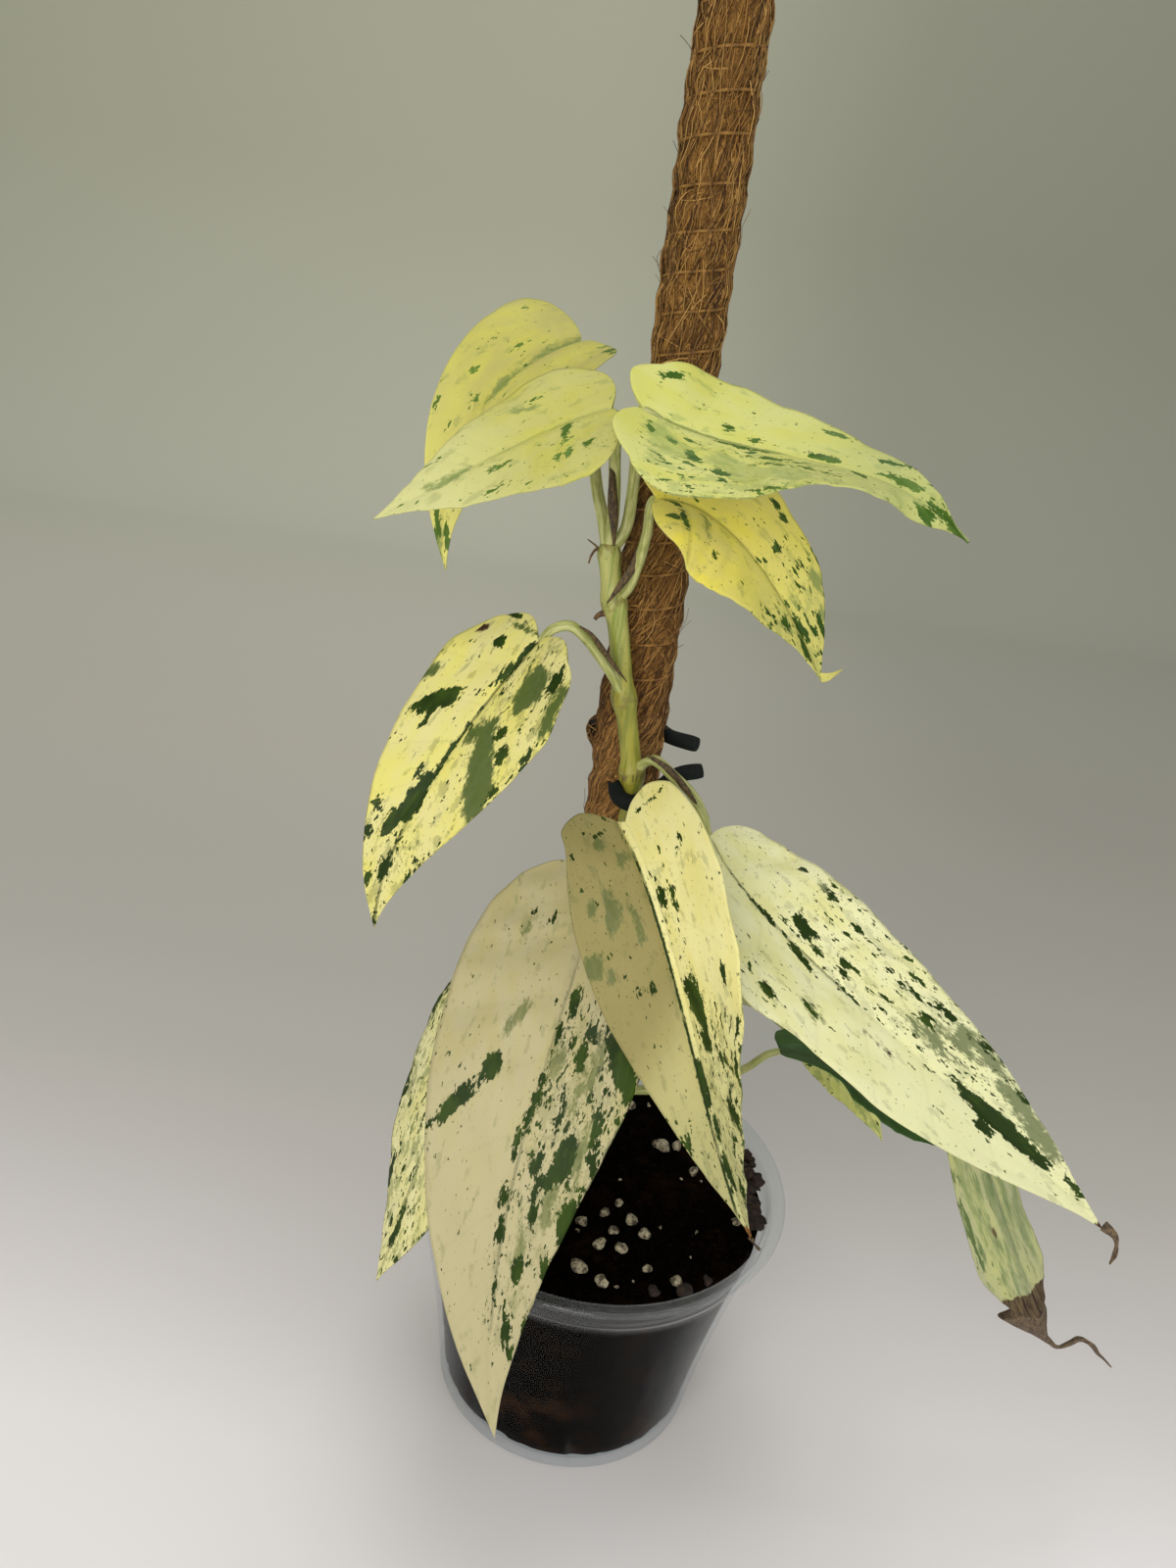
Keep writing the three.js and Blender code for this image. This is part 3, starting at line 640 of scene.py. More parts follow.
@dataclass
class Leaf:
    """One leaf: a heart-based blade with a channelled stalk, and its dried or curled tip where it has one.

    The blade follows a midrib of four Bezier points. Its halves leave the midrib at the fold's angle and bend on
    round an arc of the curl's angle, both in degrees. A row of flecks is a stretch from start to end along it and
    from inner to outer across it, and how thickly they lie there, from 0 to 1. A bulge is its place along, its size
    in half widths, its spread and its side. The groove and the ridge of the midrib are each a depth and a width.
    """

    name: str
    slot: str
    midrib: Sequence[Point]
    faces: Sequence[Point]
    fold: float
    curl: float
    left: float
    right: float
    belly: float
    lobe: float
    stalk: Sequence[Point]
    finish: BladeFinish
    marks: Sequence[Mark] = ()
    flecks: Sequence[tuple[float, float, float, float, float]] = ()
    tip: Sequence[Point] = ()
    tip_width: Sequence[float] = (0.9, 0.6, 0.3)
    tip_dry: float = 0.0
    veins: int = 8
    vein_depth: float = 0.26
    wave: float = 0.5
    waves: float = 2.3
    swell: float = 0.36
    pucker: float = 0.05
    ripples: float = 0.0
    groove: tuple[float, float] = (0.4, 0.8)
    ridge: tuple[float, float] = (0.75, 1.0)
    ridge_shift: float = 0.0
    bulges: Sequence[tuple[float, float, float, float]] = ()
    rows: int = 96
    cells: int = 28
    thickness: float = 0.55
    stalk_steps: int = 40
    stalk_sides: int = 14
    tip_steps: int = 48
    tip_sides: int = 22

    @property
    def seed(self) -> int:
        """A number of the leaf's own for its random details."""
        return sum(ord(letter) * (i + 3) for i, letter in enumerate(self.name))

    @property
    def length(self) -> float:
        """The midrib's length in millimetres."""
        line = self.midrib_points(np.linspace(0, 1, 60))[0]
        return float(np.linalg.norm(np.diff(line, axis=0), axis=1).sum())

    def midrib_points(self, along: np.ndarray) -> tuple[np.ndarray, np.ndarray]:
        """Follows the midrib.

        Args:
            along: shares of its length. Below 0 it runs on straight.

        Returns:
            The points and the directions there.
        """
        p0, p1, p2, p3 = np.array(self.midrib, float)
        x = np.clip(along, 0, 1)[:, None]
        line = (1 - x) ** 3 * p0 + 3 * (1 - x) ** 2 * x * p1 + 3 * (1 - x) * x ** 2 * p2 + x ** 3 * p3
        speed = 3 * ((1 - x) ** 2 * (p1 - p0) + 2 * (1 - x) * x * (p2 - p1) + x ** 2 * (p3 - p2))
        return line + np.minimum(along, 0)[:, None] * speed, unit(speed)

    def directions(self, along: np.ndarray) -> tuple[np.ndarray, np.ndarray, np.ndarray]:
        """Gives the midrib's place, and the side and upward directions of the blade there.

        Args:
            along: places along the midrib, 0 at the stalk and 1 at the tip.

        Returns:
            The midrib's points, with the blade's sideways and upward directions.
        """
        line, forward = self.midrib_points(along)
        x = np.clip(along, 0, 1)[:, None]
        first, last = unit(np.array(self.faces, float))
        facing = unit(first * (1 - x) + last * x)
        side = unit(np.cross(forward, facing))
        return line, side, np.cross(side, forward)

    def surface(self, along: np.ndarray, across: np.ndarray) -> tuple[np.ndarray, np.ndarray]:
        """Finds points of the plain blade.

        Args:
            along: shares of the midrib's length.
            across: shares of the widest half widths, below 0 on the left.

        Returns:
            The points and the way that the upper face looks there.
        """
        line, side, up = self.directions(along)
        sign = np.where(across < 0, -1.0, 1.0)
        reach = np.abs(across)
        width = np.where(across < 0, self.left, self.right)
        fold = math.radians(self.fold)
        curl = math.radians(self.curl)
        angle = fold + curl * reach
        out = width * (np.sin(angle) - math.sin(fold)) / curl * sign
        rise = width * (math.cos(fold) - np.cos(angle)) / curl
        facing = up * np.cos(angle)[:, None] - side * (np.sin(angle) * sign)[:, None]
        return line + side * out[:, None] + up * rise[:, None], facing

    def grid(self) -> dict[str, np.ndarray]:
        """Lays out the blade's points, row by row from the notch to the tip.

        Returns:
            For each point its along, across, share of the half width, vein and distance from the midrib.
        """
        stations = (len(OUTLINE_ALONG) - 1) * np.linspace(0, 1, self.rows + 1)
        reach = between(OUTLINE_ALONG, stations)
        edge = np.where(reach > 0, np.clip(reach, 0, 1) ** self.belly, reach * self.lobe)
        half = np.maximum(between(OUTLINE_HALF, stations), 0)
        vein = np.clip(between(OUTLINE_VEIN, stations), 0, 1) ** self.belly
        steps = np.linspace(-1, 1, 2 * self.cells + 1)
        share = np.sign(steps) * (0.6 * np.abs(steps) + 0.4 * np.abs(steps) ** 2)
        extra = np.zeros((self.rows + 1, len(share)))
        for where, size, spread, hand in self.bulges:
            bell = size * np.exp(-(((edge - where) / spread) ** 2)) * np.minimum(half * 8, 1)
            extra += bell[:, None] * (np.sign(share) == hand)[None, :]
        across = (half[:, None] + extra) * share
        along = vein[:, None] + (edge - vein)[:, None] * np.abs(share)
        width = np.where(across < 0, self.left, self.right)
        return {
            "along": along.ravel(),
            "across": across.ravel(),
            "share": np.tile(share, self.rows + 1),
            "vein": np.repeat(vein, len(share)),
            "reach": (across * width).ravel(),
        }

    def relief(self, at: dict[str, np.ndarray]) -> np.ndarray:
        """Works out how far the blade stands from its plain surface, in millimetres.

        Args:
            at: the grid.

        Returns:
            One height for each point.
        """
        reach = np.abs(at["reach"])
        body = np.clip(reach / 3, 0, 1) * smoothstep(at["along"], -0.02, 0.12)
        quilt = -self.vein_depth * np.abs(np.cos(math.pi * self.veins * at["vein"])) ** 6 * body
        phase = self.seed % 7
        margin = self.wave * np.sin(2 * math.pi * self.waves * at["along"] + phase * np.sign(at["share"]))
        margin *= np.abs(at["across"]) ** 2
        flat = np.column_stack([at["along"] * self.length, at["reach"]])
        soft = self.swell * ripple(flat, 16, self.seed) * np.clip(reach / 6, 0, 1)
        puckers = self.pucker * ripple(flat, 3.5, self.seed + 1) * body
        crosswise = self.ripples * np.sin(2 * math.pi * at["along"] * 13) * smoothstep(at["across"], 0.1, 0.6)
        crosswise *= np.exp(-(((at["along"] - 0.45) / 0.16) ** 2))
        return quilt + margin + soft + puckers + crosswise

    def fields(self, at: dict[str, np.ndarray]) -> np.ndarray:
        """Works out how far inside each kind of mark the points lie, in millimetres.

        Args:
            at: the grid.

        Returns:
            One row for each point, with a column for each kind.
        """
        x = at["along"] * self.length
        found = np.full((len(x), 3), -2.5)
        for mark in self.marks:
            turn = math.radians(mark.angle)
            side = self.left if mark.across < 0 else self.right
            dx = x - mark.along * self.length
            dy = at["reach"] - mark.across * side
            p = (dx * math.cos(turn) + dy * math.sin(turn)) / mark.length
            q = (dy * math.cos(turn) - dx * math.sin(turn)) / mark.width
            inside = (1 - np.sqrt(p * p + q * q)) * mark.width
            column = mark.kind.value
            found[:, column] = np.maximum(found[:, column], inside)
        if self.tip_dry:
            found[:, 2] = np.maximum(found[:, 2], (at["along"] - self.tip_dry) * self.length)
        return found

    def density(self, at: dict[str, np.ndarray]) -> np.ndarray:
        """Works out how thickly flecks lie, from 0 to 1, from the leaf's own stretches.

        Args:
            at: places on the blade, as along and across.

        Returns:
            A density from 0 up for each place.
        """
        total = np.zeros(len(at["along"]))
        for start, end, inner, outer, inside in self.flecks:
            for way, low, high, blur in (("along", start, end, FLECK_END_BLUR),
                                         ("across", inner, outer, FLECK_SIDE_BLUR)):
                inside = inside * smoothstep(at[way], low - blur, low + blur)
                inside = inside * (1 - smoothstep(at[way], high - blur, high + blur))
            total = np.maximum(total, inside)
        return total

    def add_blade(self, mesh: PieceMesh) -> None:
        """Adds the blade's two sheets, joined along their edge.

        Args:
            mesh: where it goes.
        """
        at = self.grid()
        points, facing = self.surface(at["along"], at["across"])
        points = points + facing * self.relief(at)[:, None]
        reach = np.abs(at["reach"] - self.ridge_shift)
        groove = self.groove[0] * np.exp(-((reach / self.groove[1]) ** 2)) * (1 - 0.6 * at["along"])
        ridge = self.ridge[0] * np.exp(-((reach / self.ridge[1]) ** 2)) * (1 - 0.75 * np.clip(at["along"], 0, 1))
        half = self.thickness / 2 * (1 - 0.6 * np.abs(at["share"]) ** 4)
        upper = points + facing * (half - groove)[:, None]
        lower = points - facing * (half + ridge)[:, None]
        fields = self.fields(at)
        seed = self.seed * 7.3 % 90
        place = np.column_stack([at["along"] * self.length + seed, at["reach"], at["vein"] * self.veins])
        marks = np.column_stack([fields[:, 0], fields[:, 1], self.density(at)])
        trims = []
        for seen in (1.0, 0.0):
            trims.append(np.column_stack([at["reach"] - self.ridge_shift, fields[:, 2], np.full(len(reach), seen)]))
        along = np.column_stack([at["along"], at["across"], at["share"]])
        columns = 2 * self.cells + 1
        under = len(points)

        def corner(row: int, column: int) -> int:
            """Numbers a point, with the first and last rows drawn in to one point each."""
            return row * columns + (self.cells if row in (0, self.rows) else column)

        faces = []
        for row in range(self.rows):
            for column in range(columns - 1):
                loop = [corner(row, column), corner(row, column + 1), corner(row + 1, column + 1),
                        corner(row + 1, column)]
                loop = list(dict.fromkeys(loop))
                faces.append(loop)
                faces.append([under + i for i in loop[::-1]])
            for column, flip in ((0, False), (columns - 1, True)):
                a, b = corner(row, column), corner(row + 1, column)
                band = [a, b, under + b, under + a]
                faces.append(band[::-1] if flip else band)
        mesh.add(np.vstack([upper, lower]), faces, 0, {
            "blade_place": np.tile(place, (2, 1)),
            "blade_marks": np.tile(marks, (2, 1)),
            "blade_trim": np.vstack(trims),
            "blade_along": np.tile(along, (2, 1)),
        })

    def add_stalk(self, mesh: PieceMesh) -> None:
        """Adds the stalk, with a channel along its upper side.

        Args:
            mesh: where it goes.
        """
        steps, sides = self.stalk_steps, self.stalk_sides
        line, _, up = self.directions(np.array([0.0, 0.09]))
        ends = line - up * np.array([[0.8], [0.75]])
        route = smooth_route([*self.stalk, tuple(ends[0]), tuple(ends[1])], steps)
        angles = turns(sides)
        channel = 1 - 0.34 * np.exp(-(((angles - math.pi / 2) / 0.5) ** 2))
        along = np.linspace(0, 1, steps)
        radii = (0.9 + 0.35 * along) * (0.55 + 0.45 * np.minimum(1, along / 0.14))
        shape = circle(sides) * channel[:, None] * np.array([1.06, 0.94])
        points = swept(route[::-1], up[0], shape * radii[:, None, None])
        length = np.linalg.norm(np.diff(route, axis=0), axis=1).sum()
        marks = np.column_stack([np.repeat(1 - along, sides) * length, np.tile(angles, steps),
                                 np.full(steps * sides, self.seed % 50)])
        mesh.add(points, ring_faces(steps, sides), 1, {"stalk_place": marks})

    def add_tip(self, mesh: PieceMesh) -> None:
        """Adds the dried or curled end as a narrow twisted strip.

        Args:
            mesh: where it goes.
        """
        if not self.tip:
            return
        steps, sides = self.tip_steps, self.tip_sides
        route = smooth_route(self.tip, steps)
        along = np.linspace(0, 1, steps)[:, None]
        widths = np.interp(along, np.linspace(0, 1, len(self.tip_width)), self.tip_width)
        base = self.directions(np.array([1.0]))[2][0]
        angles = turns(sides)
        folds = 0.3 * np.sin(angles * 3 + along * 17) + 0.2 * np.sin(angles * 5 - along * 31)
        folds *= np.minimum(widths, 1.6) * 0.32
        x = np.cos(angles) * widths + folds * 0.25
        y = (np.sin(angles) * 0.3 + 0.25 * np.cos(angles) ** 2) * widths + folds
        cos, sin = np.cos(1.5 * along), np.sin(1.5 * along)
        sections = np.stack([x * cos - y * sin, x * sin + y * cos], axis=-1)
        plain = np.zeros((steps * sides, 3))
        marks = {
            "blade_place": plain + np.array([self.seed % 40, 2.0, 0.0]) + np.repeat(route, sides, axis=0),
            "blade_marks": plain + np.array([-2.5, -2.5, 0.1]),
            "blade_trim": plain + np.array([3.0, -2.5, 1.0]),
            "blade_along": plain + np.array([1.0, 0.0, 0.2]),
        }
        mesh.add(swept(route, base, sections), ring_faces(steps, sides), 2, marks)

    def build(self, stalk_finish: bpy.types.Material, dry_finish: bpy.types.Material) -> bpy.types.Object:
        """Makes the whole leaf as one piece.

        Args:
            stalk_finish: the stalk's material.
            dry_finish: the material of a dried end.

        Returns:
            The piece.
        """
        mesh = PieceMesh()
        self.add_blade(mesh)
        self.add_stalk(mesh)
        self.add_tip(mesh)
        blade = self.finish.material(self.name + "_skin", self.seed)
        end = dry_finish if self.tip_dry else blade
        piece = mesh.build(self.name + "_blade", [blade, stalk_finish, end])
        place_piece(piece, self.slot, self.name)
        return piece


SOFT_TISSUE = {"Subsurface_Weight": 0.1, "Subsurface_Radius": (0.6, 0.8, 0.2), "Subsurface_Scale": 0.002}


@dataclass(frozen=True)
class StalkFinish:
    """A fresh stalk: pale green with long streaks and a few brown scars."""

    pale: str = "c2c384"
    green: str = "949c4c"
    deep: str = "788238"
    scar: str = "5f4a24"

    def material(self) -> bpy.types.Material:
        """Makes the finish from the stalk's lengthwise place.

        Returns:
            The material.
        """
        s = Shader("stalk_skin")
        place = s.attribute("stalk_place")
        streak = s.noise(s.scaled(place, (0.12, 1.6, 1.0)), 1.6, 3.0, 0.6)
        blush = s.noise(s.scaled(place, (0.3, 0.4, 1.0)), 0.8, 2.0)
        skin = s.mix(streak.smooth(0.35, 0.65), self.pale, self.green)
        skin = s.mix(blush.smooth(0.5, 0.72) * 0.5, skin, self.deep)
        scar = s.noise(s.scaled(place, (1.0, 2.0, 1.0)), 1.1, 3.0).smooth(0.68, 0.74)
        skin = s.mix(scar * 0.55, skin, self.scar)
        return s.done(s.surface(
            Base_Color=skin, Roughness=(streak - 0.5) * 0.3 + 0.42, Normal=s.bump(streak, 0.25, 0.5),
            **SOFT_TISSUE,
        ))


@dataclass(frozen=True)
class StemFinish:
    """The main stem: light green with long yellow and green stripes and brown marks at its joints."""

    yellow: str = "9c9838"
    green: str = "6f7826"
    upper_yellow: str = "b3b468"
    upper_green: str = "7f9436"
    streak: str = "737c28"
    upper_heights: tuple[float, float] = (178, 196)
    joint: str = "74622e"
    scar: str = "4a3719"
    cork: str = "5b4424"

    def material(self) -> bpy.types.Material:
        """Makes the finish from the swelling of the stem's joints.

        Returns:
            The material.
        """
        s = Shader("stem_skin")
        swelling, _, _ = s.parts(s.attribute("stem_place"))
        run = s.scaled(s.place(), (1.0, 1.0, 0.06))
        stripe = s.noise(run, 0.55, 2.0, 0.5)
        streak = s.noise(run, 2.2, 3.0, 0.6)
        upper = s.height().smooth(*self.upper_heights)
        yellow = s.mix(upper, self.yellow, self.upper_yellow)
        green = s.mix(upper, self.green, self.upper_green)
        skin = s.mix(stripe.smooth(0.42, 0.6) * 0.75, yellow, green)
        skin = s.mix(streak.smooth(0.55, 0.75) * 0.4, skin, self.streak)
        joint = swelling.smooth(0.3, 0.75) * s.noise(s.place(), 0.9, 3.0).smooth(0.42, 0.6)
        skin = s.mix(joint * 0.55, skin, self.joint)
        scar = swelling.smooth(0.8, 0.98) * streak.smooth(0.4, 0.6)
        skin = s.mix(scar * 0.7, skin, self.scar)
        corky = s.noise(s.place(), 1.6, 4.0, 0.65).smooth(0.66, 0.72)
        skin = s.mix(corky * 0.7, skin, self.cork)
        return s.done(s.surface(
            Base_Color=skin, Roughness=0.4 + corky * 0.3, Normal=s.bump(streak * 0.6 + corky * 0.7, 0.3, 0.6),
            **SOFT_TISSUE,
        ))


@dataclass(frozen=True)
class GrainFinish:
    """Two tones that follow a grain, with patches of a third.

    The grain is a noise of a scale, a detail and a roughness, and the patches are one of a scale and a detail.
    """

    name: str
    dark: str
    light: str
    patch: str = "000000"
    stretch: Point = (1, 1, 1)
    grain: Point = (1, 3, 0.55)
    tones: tuple[float, float] = (0.35, 0.65)
    patch_shift: Point = (0, 0, 0)
    patches: tuple[float, float] = (0.5, 2)
    patch_tones: tuple[float, float] = (0.5, 0.7)
    patch_share: float = 0.0
    rough: float = 0.85
    rough_swing: float = 0.0
    bump: tuple[float, float] = (0.6, 0.9)
    shine: float = 0.5

    def material(self) -> bpy.types.Material:
        """Makes the finish from its grain and its patches.

        Returns:
            The material.
        """
        s = Shader(self.name)
        grain = s.noise(s.scaled(s.place(), self.stretch), *self.grain)
        patch = s.noise(s.shifted(s.place(), self.patch_shift), *self.patches)
        skin = s.mix(grain.smooth(*self.tones), self.dark, self.light)
        skin = s.mix(patch.smooth(*self.patch_tones) * self.patch_share, skin, self.patch)
        return s.done(s.surface(Base_Color=skin, Roughness=(grain - 0.5) * self.rough_swing + self.rough,
                                Specular_IOR_Level=self.shine, Normal=s.bump(grain, *self.bump)))


def dried(name: str, light: str, dark: str) -> GrainFinish:
    """Gives papery dried tissue with dark patches and its fibres along the height."""
    return GrainFinish(name, dark, light, "231509", stretch=(1, 1, 0.35), grain=(2.6, 4, 0.65), patch_share=0.5,
                       rough=0.62, rough_swing=0.3, bump=(0.3, 0.8))


TIE_FOAM = GrainFinish("tie_foam", "040806", "0e1813", "18241d", grain=(4, 3, 0.6), tones=(0.4, 0.65),
                       patches=(0.4, 2), patch_share=0.4, rough=0.78, rough_swing=0.2, bump=(0.12, 0.7), shine=0.25)
# Perlite sits well below its own white, with strong dark patches: partly soil on the granules, partly painted
# shade.
PERLITE = GrainFinish("perlite", "62583f", "b8ad90", "2e2116", grain=(1.6, 4, 0.65), tones=(0.3, 0.6),
                      patch_shift=(7, 3, 1), patches=(0.7, 3), patch_tones=(0.46, 0.62), patch_share=0.85,
                      rough=0.88, bump=(0.5, 0.8))
BARK = GrainFinish("bark", "0d0806", "33200f", stretch=(0.5, 1, 1.6), grain=(1.1, 4, 0.65))
ROD = GrainFinish("rod_plastic", "1c1c1c", "333231", grain=(1.2, 3, 0.55), tones=(0.4, 0.7), rough=0.5,
                  rough_swing=0.3, bump=(0.1, 0.3))


@dataclass(frozen=True)
class FibreFinish:
    """Coconut fibre whose strands each have their own tone, redder low on the pole."""

    name: str
    light: str
    middle: str
    dark: str
    red_dark: str = "6a4422"
    red_light: str = "c68d52"
    red_heights: tuple[float, float] = (90, 260)

    def material(self) -> bpy.types.Material:
        """Makes the finish from each strand's tone, its depth in the sleeve, which darkens it as painted shade, and
        its run.

        Returns:
            The material.
        """
        s = Shader(self.name)
        tone, depth, lengthwise = s.parts(s.attribute("strand"))
        skin = s.mix(tone.smooth(0.0, 0.55), self.dark, self.middle)
        skin = s.mix(tone.smooth(0.5, 1.0), skin, self.light)
        low = (1 - s.height().smooth(*self.red_heights)) * 0.45
        skin = s.mix(low, skin, s.mix(tone, self.red_dark, self.red_light))
        # Painted shade: strands with a lower depth value are darkened towards the dark tone, as if set deeper in
        # the sleeve.
        skin = s.mix(1 - depth.smooth(0.0, 1.0), skin, self.dark)
        pits = s.noise(s.place(), 3.0, 2.0)
        skin = s.mix(pits.smooth(0.55, 0.75) * 0.3, skin, self.dark)
        return s.done(s.surface(Base_Color=skin, Roughness=0.72 - lengthwise * 0.05, Specular_IOR_Level=0.35,
                                Normal=s.bump(pits, 0.15, 0.5)))


@dataclass(frozen=True)
class MattingFinish:
    """The felted coir that shows between the loose strands."""

    dark: str = "4c3216"
    middle: str = "966e36"
    light: str = "b58b4e"
    red_dark: str = "5c3b1e"
    red_light: str = "ae7b48"
    red_heights: tuple[float, float] = (90, 260)

    def material(self) -> bpy.types.Material:
        """Makes the finish from two crossing runs of tangled fibre.

        Returns:
            The material.
        """
        s = Shader("coir_matting")
        place = s.place()
        run = s.node("ShaderNodeVectorRotate", {"rotation_type": "Z_AXIS"}, {"Vector": place, "Angle": 0.4})
        tangled = s.noise(s.scaled(run, (1.0, 1.0, 0.3)), 1.9, 5.0, 0.7, 0.6)
        crossed = s.noise(s.scaled(place, (0.5, 0.5, 1.0)), 2.4, 4.0, 0.65, 1.2)
        fibre = tangled * 0.6 + crossed * 0.4
        skin = s.mix(fibre.smooth(0.36, 0.6), self.dark, self.middle)
        skin = s.mix(tangled.smooth(0.56, 0.7), skin, self.light)
        low = 1 - s.parts(place)[2].smooth(*self.red_heights)
        red = s.mix(fibre.smooth(0.38, 0.62), self.red_dark, self.red_light)
        skin = s.mix(low * 0.5, skin, red)
        return s.done(s.surface(Base_Color=skin, Roughness=0.85, Specular_IOR_Level=0.2,
                                Normal=s.bump(fibre, 0.7, 0.9)))


@dataclass(frozen=True)
class MixFinish:
    """Damp, near-black potting mix with brown crumbs."""

    dark: str = "030201"
    brown: str = "100a06"
    dry: str = "3a2415"
    chip: str = "3d2b1b"
    dry_heights: tuple[float, float] = (10, 34)

    def material(self) -> bpy.types.Material:
        """Makes the finish from grains, crumbs and drier patches.

        Returns:
            The material.
        """
        s = Shader("damp_mix")
        place = s.place()
        crumbs = s.node("ShaderNodeTexVoronoi", {"feature": "F1"}, {"Vector": place, "Scale": 0.6})
        grains = s.noise(place, 1.3, 5.0, 0.7)
        patch = s.noise(s.shifted(place, (13.0, 5.0, 3.0)), 0.085, 3.0, 0.6)
        skin = s.mix(grains.smooth(0.4, 0.75), self.dark, self.brown)
        low = 1 - s.parts(place)[2].smooth(*self.dry_heights)
        skin = s.mix(patch.smooth(0.5, 0.7) * (low * 0.7 + 0.15), skin, self.dry)
        chip = s.noise(s.shifted(place, (3.0, 55.0, 9.0)), 0.9, 2.0).smooth(0.68, 0.74)
        skin = s.mix(chip * 0.3, skin, self.chip)
        wet = s.noise(place, 0.5, 2.0)
        return s.done(s.surface(Base_Color=skin, Roughness=wet.smooth(0.35, 0.65, 0.65, 0.95),
                                Specular_IOR_Level=0.01, Normal=s.bump(grains * 0.7 + crumbs * 0.5, 0.6, 0.6)))


@dataclass(frozen=True)
class ClearPlasticFinish:
    """Clear moulded plastic: mostly see-through, milky at steep angles, scuffed, with a glossier collar and soft
    upright streaks of painted reflection.
    """

    cast: str = "c9cbcc"
    milk: str = "e6e8e8"
    tint: Colour = (0.94, 0.96, 0.97, 1.0)
    edge_share: float = 0.11
    scuff_share: float = 0.006
    # Share of the soft upright streaks of painted reflection.
    reflection_streak_share: float = 0.03
    collar: tuple[float, float] = (52.5, 54.0)

    def material(self) -> bpy.types.Material:
        """Makes the finish as a clear wall, a milky share and a glossy share.

        Returns:
            The material.
        """
        s = Shader("clear_plastic")
        facing = s.node("ShaderNodeLayerWeight", {}, {"Blend": 0.5}, "Facing")
        haze = s.noise(s.place(), 0.09, 3.0)
        scuffs = s.noise(s.scaled(s.place(), (1.0, 1.0, 0.25)), 0.7, 4.0, 0.65)
        rings = s.node("ShaderNodeTexWave", {"wave_type": "RINGS", "rings_direction": "Z"},
                       {"Vector": s.place(), "Scale": 0.2, "Distortion": 0.0})
        body = s.surface(
            Base_Color=s.mix(haze.smooth(0.4, 0.7), self.cast, self.milk),
            Roughness=0.22 + scuffs.smooth(0.5, 0.75) * 0.25, Specular_IOR_Level=0.6,
            Normal=s.bump(rings, 0.05, 0.2),
        )
        clear = s.node("ShaderNodeBsdfTransparent", {}, {"Color": self.tint})
        gloss = s.node("ShaderNodeBsdfAnisotropic", {}, {"Color": (1.0, 1.0, 1.0, 1.0), "Roughness": 0.09})
        # Painted reflection: soft upright streaks of the milky body stand for reflections of the room on the wall.
        reflection_streaks = s.noise(s.scaled(s.place(), (1.0, 1.0, 0.05)), 0.13, 3.0, 0.55).smooth(0.6, 0.68)
        share = facing.smooth(0.6, 1.0) * self.edge_share + scuffs.smooth(0.62, 0.8) * self.scuff_share
        share = share + reflection_streaks * self.reflection_streak_share + 0.0005
        wall = s.node("ShaderNodeMixShader", {}, {0: share, 1: clear, 2: body})
        lip = s.height().smooth(*self.collar)
        sheen = facing ** 6.0 * 0.3 + 0.001 + lip * (facing ** 3.0 * 0.25 + 0.03)
        return s.done(s.node("ShaderNodeMixShader", {}, {0: sheen, 1: wall, 2: gloss}))


@dataclass(frozen=True)
class BackdropFinish:
    """A matt sheet: almost white near by, greyer and a little olive up the wall, darker to the right; the greying
    and the darkening are painted shade.
    """

    # Tones by how far back and up a point lies; their fall from nearly white is painted shade.
    stops: tuple[tuple[float, str], ...] = (
        (0.0, "faf7f6"), (0.075, "f5f2f0"), (0.092, "e3dfdb"), (0.11, "d4d0cb"), (0.135, "c5c2b9"),
        (0.165, "bebcb1"), (0.2, "bebcb0"), (0.26, "c4c1b3"), (0.36, "cbc9ba"), (0.52, "d1d1bf"),
        (0.67, "cacbb6"), (0.8, "c7c8b2"), (1.0, "c3c4ad"),
    )
    nearest: float = -200.0
    reach: float = 2200.0
    # Painted shade to the right: the x range over which it comes in, and the stretch up the sheet over which it
    # grows to 0.28 of black.
    right: tuple[float, float] = (-150, 300)
    fall: tuple[float, float, float, float] = (0.08, 0.32, 0.0, 0.28)

    def material(self) -> bpy.types.Material:
        """Makes the finish from how far back and up each point lies, with painted shade up the sheet and to the
        right.

        Returns:
            The material.
        """
        s = Shader("backdrop")
        x, y, z = s.parts(s.place())
        grain = s.noise(s.place(), 0.02, 3.0)
        share = (y + z - self.nearest) * (1 / self.reach)
        stops = [(place, colour(code)) for place, code in self.stops]
        tone = s.node("ShaderNodeValToRGB", {"stops": stops}, {0: share})
        # Painted shade: the right side darkens towards black, more so up the sheet.
        tone = s.mix(x.smooth(*self.right) * share.smooth(*self.fall), tone, "000000")
        fine = s.noise(s.place(), 1.2, 2.0)
        return s.done(s.surface(Base_Color=tone, Roughness=0.85 + (grain - 0.5) * 0.1, Specular_IOR_Level=0.2,
                                Normal=s.bump(fine, 0.05, 0.2)))


# Pole, twine and tie


